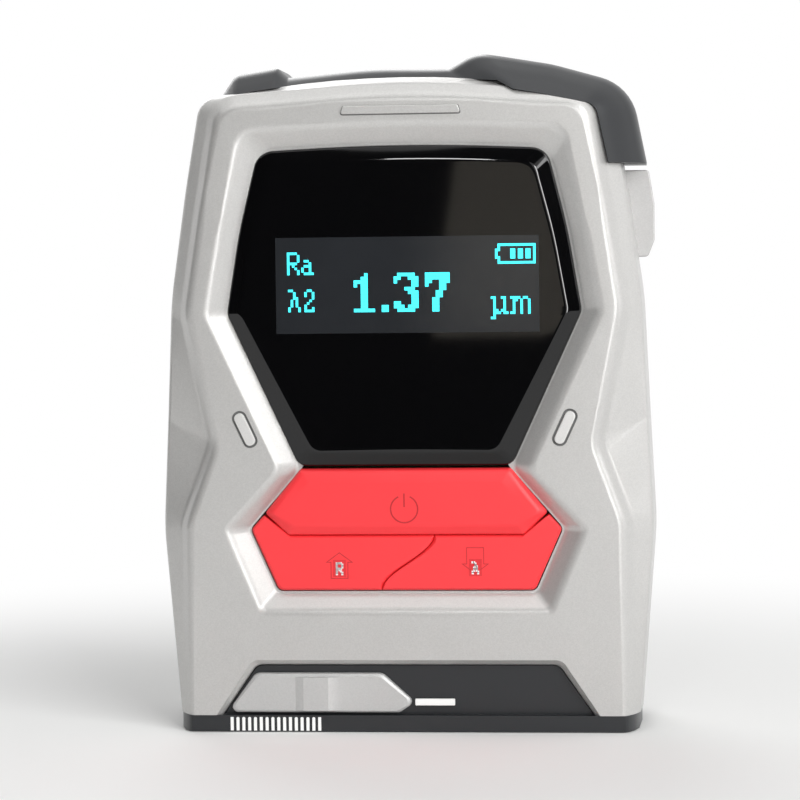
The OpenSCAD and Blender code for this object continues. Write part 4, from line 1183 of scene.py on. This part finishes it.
@dataclass
class Keypad:
    """Three red keys and the signs on them."""

    form: Form
    gap: float = 0.25
    power_set: float = 0.55
    lower_set: float = 1.2
    key_depth: float = 4.0
    brow_fall: float = 0.25
    seam_depth: float = 0.4
    seam_close: float = 0.1
    split_low: float = -3.7
    split_high: float = 4.2
    split_steps: int = 10

    @property
    def power_low(self) -> float:
        """Lower edge of the power key."""
        return self.form.keys_tip - 0.8

    def power(self, inset: float, lip: float = 0.0) -> Array:
        """Outline of the power key, set in by a distance and by a lip along its lower edges."""
        f = self.form
        return corner_loop(mirrored([
            (f.keys_half - 5.5 - inset - lip * 0.5, self.power_low + inset + lip, 0.5),
            (f.keys_half - 2.1 - inset * 1.3 - lip * 0.5, f.keys_tip + 2.4, 0.5),
            (f.keys_half - 7.4 - inset * 0.6, f.keys_top - inset, 0.6)]), arc=6)

    def lower(self, side: int, inset: float) -> Array:
        """Outline of a lower key; an S-curve 3t^2 - 2t^3 parts it from its neighbour.

        Args:
            side: -1 for the left key and 1 for the right one.
            inset: distance by which it is set in.

        Returns:
            Rows of x and z.
        """
        f = self.form
        high = self.power_low - self.gap - inset
        t = np.linspace(0, 1, self.split_steps + 1)
        split_x = self.split_low + (self.split_high - self.split_low) * (3 * t ** 2 - 2 * t ** 3)
        low = f.keys_low + inset
        split = np.column_stack([split_x + side * (self.gap / 2 + inset), low + (high - low) * t, np.full(len(t), 0.1)])
        outer = np.array([
            (side * (f.keys_half - 5.5 - self.gap), high, 0.2),
            (side * (f.keys_half - 1.9 - inset * 0.9), f.keys_tip + 2 - inset * 0.7, 0.2),
            (side * (f.keys_half - inset * 1.1), f.keys_tip, 0.8),
            (side * (f.keys_half - 4 - inset * 0.8), low, 1.0)])
        return corner_loop(np.concatenate([split, outer]), arc=4, run=3)

    def build(self) -> None:
        """Builds the keys and prints their signs."""
        f = self.form
        top, low, back = f.front_y + self.power_set, f.front_y + self.lower_set, f.front_y + self.key_depth
        edge = self.power(0.35, 1.0)
        brow = self.brow_fall * np.clip((edge[:, 1] - f.keys_tip - 5) / 3.3, 0, 1)
        power_rows = np.stack([
            at_depth(self.power(2.3, 1.0), top), at_depth(self.power(1.9, 1.0), top), at_depth(edge, top + brow),
            at_depth(self.power(0), low), at_depth(self.power(0), low + self.seam_depth),
            at_depth(self.power(-self.seam_close), low + self.seam_depth + 0.15),
            at_depth(self.power(-self.seam_close), back)])
        Piece("power_key_cap", KEY_RED, "power_button", "red_key",
              [skinned(rounded_rows(power_rows, [0, 0.35, 0.5, 0.25, 0, 0, 0]))], ("power_key",)).build()
        for side, node, body in ((-1, "parameter_key", "parameter_button"), (1, "cutoff_key", "cutoff_button")):
            rows = np.stack([
                at_depth(self.lower(side, 0.25), low), at_depth(self.lower(side, 0), low + 0.2),
                at_depth(self.lower(side, 0), low + self.seam_depth),
                at_depth(self.lower(side, -self.seam_close), low + self.seam_depth + 0.15),
                at_depth(self.lower(side, -self.seam_close), back)])
            Piece(f"{node}_cap", KEY_RED, body, "red_key", [skinned(rounded_rows(rows, [0, 0.15, 0, 0, 0], 4))],
                  (node,)).build()
        self.power_sign(top)
        self.arrow_sign("parameter_sign", "parameter_button", (-9.9, 24.5), 1, "R", low)
        self.arrow_sign("cutoff_sign", "cutoff_button", (10.2, 25.2), -1, "lambda", low)

    def power_sign(self, front: float) -> None:
        """Raised ring open at the top, with a bar in its gap.

        Args:
            front: depth of the key's front.
        """
        middle = np.array([-0.15, 32.9])
        angle = np.radians(np.linspace(115, 425, 40))
        ring = middle + 2.0 * np.column_stack([np.cos(angle), np.sin(angle)])
        bar = middle + np.array([[0, 2.3], [0, 0.3]])
        Piece("power_sign", KEY_INK, "power_button", "red_key",
              [stroke(path, 0.2, front - 0.03, 0.3) for path in (ring, bar)], shading=Shading.CRISP).build()

    def arrow_sign(self, name: str, body: str, middle: tuple[float, float], way: int, glyph: str, front: float) -> None:
        """Arrow outline with a pale glyph.

        Args:
            name: the piece's name.
            body: the key's body.
            middle: x and z of the arrow's middle.
            way: 1 points up and -1 down.
            glyph: the glyph's name.
            front: depth of the key's front.
        """
        arrow = np.array([[0, 1.9], [1.9, 0.5], [1.25, 0.5], [1.25, -1.9], [-1.25, -1.9], [-1.25, 0.5], [-1.9, 0.5]])
        path = np.array(middle) + arrow * [1, way]
        x, z = middle[0], middle[1] + 0.5 - 0.3 * (1 - way)
        back = box_surface((x - 0.95, front - 0.01, z - 2.2), (x + 0.95, front + 0.1, z + 0.35))
        letter = tiles(glyph, x - 0.55, z, 0.2, front - 0.04, 0.1, weight=1.6)
        for part, ink, slot, surface in (
                (name, KEY_INK, "red_key", stroke(path, 0.1, front - 0.02, 0.2, closed=True)),
                (f"{name}_plate", KEY_PLATE, "red_key", back), (f"{name}_letter", PALE_INK, "white_mark", letter)):
            Piece(part, ink, body, slot, [surface], shading=Shading.CRISP).build()


@dataclass
class ProbeFoot:
    """Measuring foot with its comb scale, and the sliding door."""

    form: Form
    nodes: dict[str, Thing]
    comb_left: float = -26.3
    comb_pitch: float = 0.87
    comb_count: int = 16
    mark_w: float = 0.46
    mark_low: float = 0.12
    mark_high: float = 2.15

    def build(self) -> None:
        """Builds the foot, the comb and the door's outer pieces."""
        Piece("foot_skin", BLACK_TRIM, "housing", "black_trim", bevel_mm=0.12).copy_node(self.nodes["foot"])
        Piece("door_grip_skin", SLIDE_GREY, "door", "silver_slide",
              shading=Shading.FINE).copy_node(self.nodes["door_grip"])
        Piece("door_index_tongue", WHITE_INK, "door", "white_mark", bevel_mm=0.12).copy_node(self.nodes["door_index"])
        front = self.form.front_y
        marks = []
        for k in range(self.comb_count):
            low = np.array([self.comb_left + k * self.comb_pitch, self.mark_low])
            high = np.array([low[0] + self.mark_w, self.mark_high])
            marks.append(prism(plate(low, high, 0.03, 0.05 if k % 5 == 0 else 0.2), front - 0.02, front + 0.05))
        Piece("comb_scale", WHITE_INK, "housing", "white_mark", marks).build()


@dataclass
class InnerWorks:
    """Finishes of the pieces inside and of the fasteners, which keep their frame shapes."""

    nodes: dict[str, Thing]

    def dress(self) -> None:
        """Gives each inner node its finish."""
        finishes = {
            STEEL: ("case_screws", "board_screws", "foot_screws", "frame_screws", "guide_rods", "drive_motor",
                    "door_plate", "pickup_pin", "pickup_body", "skid", "stylus_arm", "lead_screw", "charge_socket"),
            BRASS: ("lead_nut", "screw_coupling"),
            INNER_GREY: ("display_holder", "key_switches", "drive_frame", "carriage"),
            LACQUER_GREEN: ("main_board",),
            CELL_WRAP: ("battery",),
            DIM_PANEL: ("display_panel",),
            DIAMOND: ("stylus_tip",),
        }
        for finish, names in finishes.items():
            for name in names:
                mesh = self.nodes[name].data
                mesh.materials.clear()
                mesh.materials.append(finish.material())
                LOG.info("%s: %s", name, finish.name)


@dataclass(frozen=True)
class Lamp:
    """Soft lamp aimed at the object, in metres and watts."""

    name: str
    place: tuple[float, float, float]
    wide: float
    high: float
    watts: float


@dataclass(frozen=True)
class Card:
    """Upright card that gloss shows, from one lower corner to the other, in metres."""

    name: str
    start: tuple[float, float]
    end: tuple[float, float]
    high: float
    low: float = 0.0
    lean: float = 0.0
    finish: Finish = BLACK_FELT


@dataclass
class Studio:
    """Camera, lamps, floor and surroundings, in metres where not said otherwise."""

    azimuth_deg: float = 5.1
    elevation_deg: float = 3.0
    roll_deg: float = -0.7
    distance_mm: float = 400.0
    target_mm: tuple[float, float, float] = (-0.5, -12.5, 49.0)
    pixels_per_mm: float = 6.83
    image_px: int = 800
    sensor_mm: float = 36.0
    ambient: float = 0.32
    aim_z: float = 0.05
    floor_half: float = 3.0
    floor_z: float = -0.0001
    opening: tuple[float, float] = (0.031, 0.0105)
    white_from: float = 0.05
    white_at: float = 0.2
    lamps: tuple[Lamp, ...] = (
        Lamp("window_right", (0.5, -0.55, 0.4), 0.5, 0.5, 4.6),
        Lamp("strip_above", (-0.025, -0.43, 0.24), 0.04, 0.04, 0.1),
        Lamp("strip_right", (0.2, -0.55, 0.12), 0.05, 0.3, 0.66),
        Lamp("ceiling", (0.05, -0.2, 0.95), 0.7, 0.7, 0.9),
        Lamp("back_rim", (-0.3, 0.8, 0.6), 0.6, 0.6, 3.0))
    cards: tuple[Card, ...] = (
        Card("card_front", (-0.5, -0.46), (0.1, -0.46), 0.5),
        Card("card_left", (-0.5, -0.46), (-0.5, 0.1), 0.5),
        Card("card_right", (0.2, -0.47), (0.45, -0.3), 0.22),
        Card("card_corner", (0.1, -0.46), (0.36, -0.4), 0.55, 0.27),
        Card("card_cream", (-0.03, -0.455), (0.02, -0.455), 0.13, 0.045, 0.012, PALE_CARD))

    def build(self) -> None:
        """Sets the camera, the light and the floor."""
        self.camera()
        for lamp in self.lamps:
            self.light(lamp)
        for card in self.cards:
            self.flag(card)
        self.world()
        self.floor()
        bpy.context.scene.view_settings.view_transform = "Standard"

    def camera(self) -> None:
        """Camera on the photograph's line of sight."""
        az, el, roll = (math.radians(a) for a in (self.azimuth_deg, self.elevation_deg, self.roll_deg))
        back = np.array([math.sin(az) * math.cos(el), -math.cos(az) * math.cos(el), math.sin(el)])
        right = unit(np.cross(-back, [0, 0, 1.0]))
        lens = bpy.data.cameras.new("camera")
        lens.sensor_width = self.sensor_mm
        lens.lens = self.pixels_per_mm * self.distance_mm * self.sensor_mm / self.image_px
        lens.clip_start = 0.01
        camera = bpy.data.objects.new("camera", lens)
        camera.matrix_world = standing(math.cos(roll) * right + math.sin(roll) * np.cross(back, right), back,
                                       (np.array(self.target_mm) + self.distance_mm * back) * MM)
        bpy.context.scene.collection.objects.link(camera)
        bpy.context.scene.camera = camera

    def light(self, lamp: Lamp) -> None:
        """One area lamp that faces the object's middle.

        Args:
            lamp: its place, size and power.
        """
        data = bpy.data.lights.new(lamp.name, "AREA")
        data.shape = "RECTANGLE"
        data.size = lamp.wide
        data.size_y = lamp.high
        data.energy = lamp.watts
        made = bpy.data.objects.new(lamp.name, data)
        back = unit(np.array(lamp.place) - [0, 0, self.aim_z])
        made.matrix_world = standing(unit(np.cross([0, 0, 1.0], back)), back, lamp.place)
        bpy.context.scene.collection.objects.link(made)

    def flag(self, card: Card) -> None:
        """Card that neither lights, shades nor hides the object, and only shows in its gloss.

        Args:
            card: its corners and finish.
        """
        (x0, y0), (x1, y1), low, top = card.start, card.end, card.low, card.high
        mesh = bpy.data.meshes.new(card.name)
        mesh.from_pydata([(x0, y0, low), (x1, y1, low), (x1 + card.lean, y1, top), (x0 + card.lean, y0, top)], [],
                         [(0, 1, 2, 3)])
        mesh.materials.append(card.finish.material())
        made = bpy.data.objects.new(card.name, mesh)
        made.visible_camera = made.visible_diffuse = made.visible_shadow = False
        bpy.context.scene.collection.objects.link(made)

    def seen(self, tree: Tree) -> Socket:
        """Whether a ray shows the surroundings: seen by camera, in gloss or through glass.

        Args:
            tree: the node tree that asks.

        Returns:
            The socket that gives 1 for such a ray and 0 for others.
        """
        path = add_node(tree, "ShaderNodeLightPath").outputs
        first = add_node(tree, "ShaderNodeMath", {"operation": "MAXIMUM"},
                         {0: path["Is Camera Ray"], 1: path["Is Glossy Ray"]})
        both = add_node(tree, "ShaderNodeMath", {"operation": "MAXIMUM"},
                        {0: first.outputs[0], 1: path["Is Transmission Ray"]})
        return both.outputs[0]

    def world(self) -> None:
        """White surroundings that light the object at a plain level."""
        world = bpy.data.worlds.new("studio_white")
        world.use_nodes = True
        tree = world.node_tree
        strength = add_node(tree, "ShaderNodeMapRange", {"To Min": self.ambient, "To Max": 1.0},
                            {"Value": self.seen(tree)})
        tree.links.new(strength.outputs["Result"], tree.nodes["Background"].inputs["Strength"])
        tree.nodes["Background"].inputs["Color"].default_value = linear("#FFFFFF")
        bpy.context.scene.world = world

    def floor(self) -> None:
        """Pale floor, open under the object, that keeps its shadow and goes white further out."""
        corner = np.array([(-1, -1), (1, -1), (1, 1), (-1, 1)])
        level = np.full((8, 1), self.floor_z)
        points = np.hstack([np.concatenate([corner * self.floor_half, corner * self.opening]), level])
        mesh = bpy.data.meshes.new("floor")
        mesh.from_pydata(points.tolist(), [], [(k, (k + 1) % 4, (k + 1) % 4 + 4, k + 4) for k in range(4)])
        floor = bpy.data.objects.new("floor", mesh)
        bpy.context.scene.collection.objects.link(floor)
        made = bpy.data.materials.new("white_paper")
        made.use_nodes = True
        tree = made.node_tree
        shader = tree.nodes["Principled BSDF"]
        shader.inputs["Base Color"].default_value = linear("#F4F4F3")
        shader.inputs["Roughness"].default_value = 0.9
        where = add_node(tree, "ShaderNodeTexCoord").outputs["Object"]
        reach = add_node(tree, "ShaderNodeVectorMath", {"operation": "LENGTH"}, {0: where})
        far = add_node(tree, "ShaderNodeMapRange", {"interpolation_type": "SMOOTHSTEP", "From Min": self.white_from,
                       "From Max": self.white_at}, {"Value": reach.outputs["Value"]})
        share = add_node(tree, "ShaderNodeMath", {"operation": "MULTIPLY"},
                         {0: far.outputs["Result"], 1: self.seen(tree)})
        glow = add_node(tree, "ShaderNodeEmission", {"Color": linear("#FFFFFF"), "Strength": 1.0})
        mix = add_node(tree, "ShaderNodeMixShader", None,
                       {0: share.outputs[0], 1: shader.outputs[0], 2: glow.outputs[0]})
        clear = add_node(tree, "ShaderNodeBsdfTransparent")
        under = add_node(tree, "ShaderNodeNewGeometry").outputs["Backfacing"]
        sheet = add_node(tree, "ShaderNodeMixShader", None, {0: under, 1: mix.outputs[0], 2: clear.outputs[0]})
        tree.links.new(sheet.outputs[0], tree.nodes["Material Output"].inputs["Surface"])
        mesh.materials.append(made)


def main() -> None:
    """Loads the frame, reads its sizes and builds each sub-assembly."""
    logging.basicConfig(level=logging.INFO, format="%(name)s: %(message)s")
    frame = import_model()
    nodes = frame["nodes"]
    form = Form.from_frame()
    Studio().build()
    Housing(form).build()
    Display(form).build()
    Keypad(form).build()
    ProbeFoot(form, nodes).build()
    InnerWorks(nodes).dress()


if __name__ == "__main__":
    main()
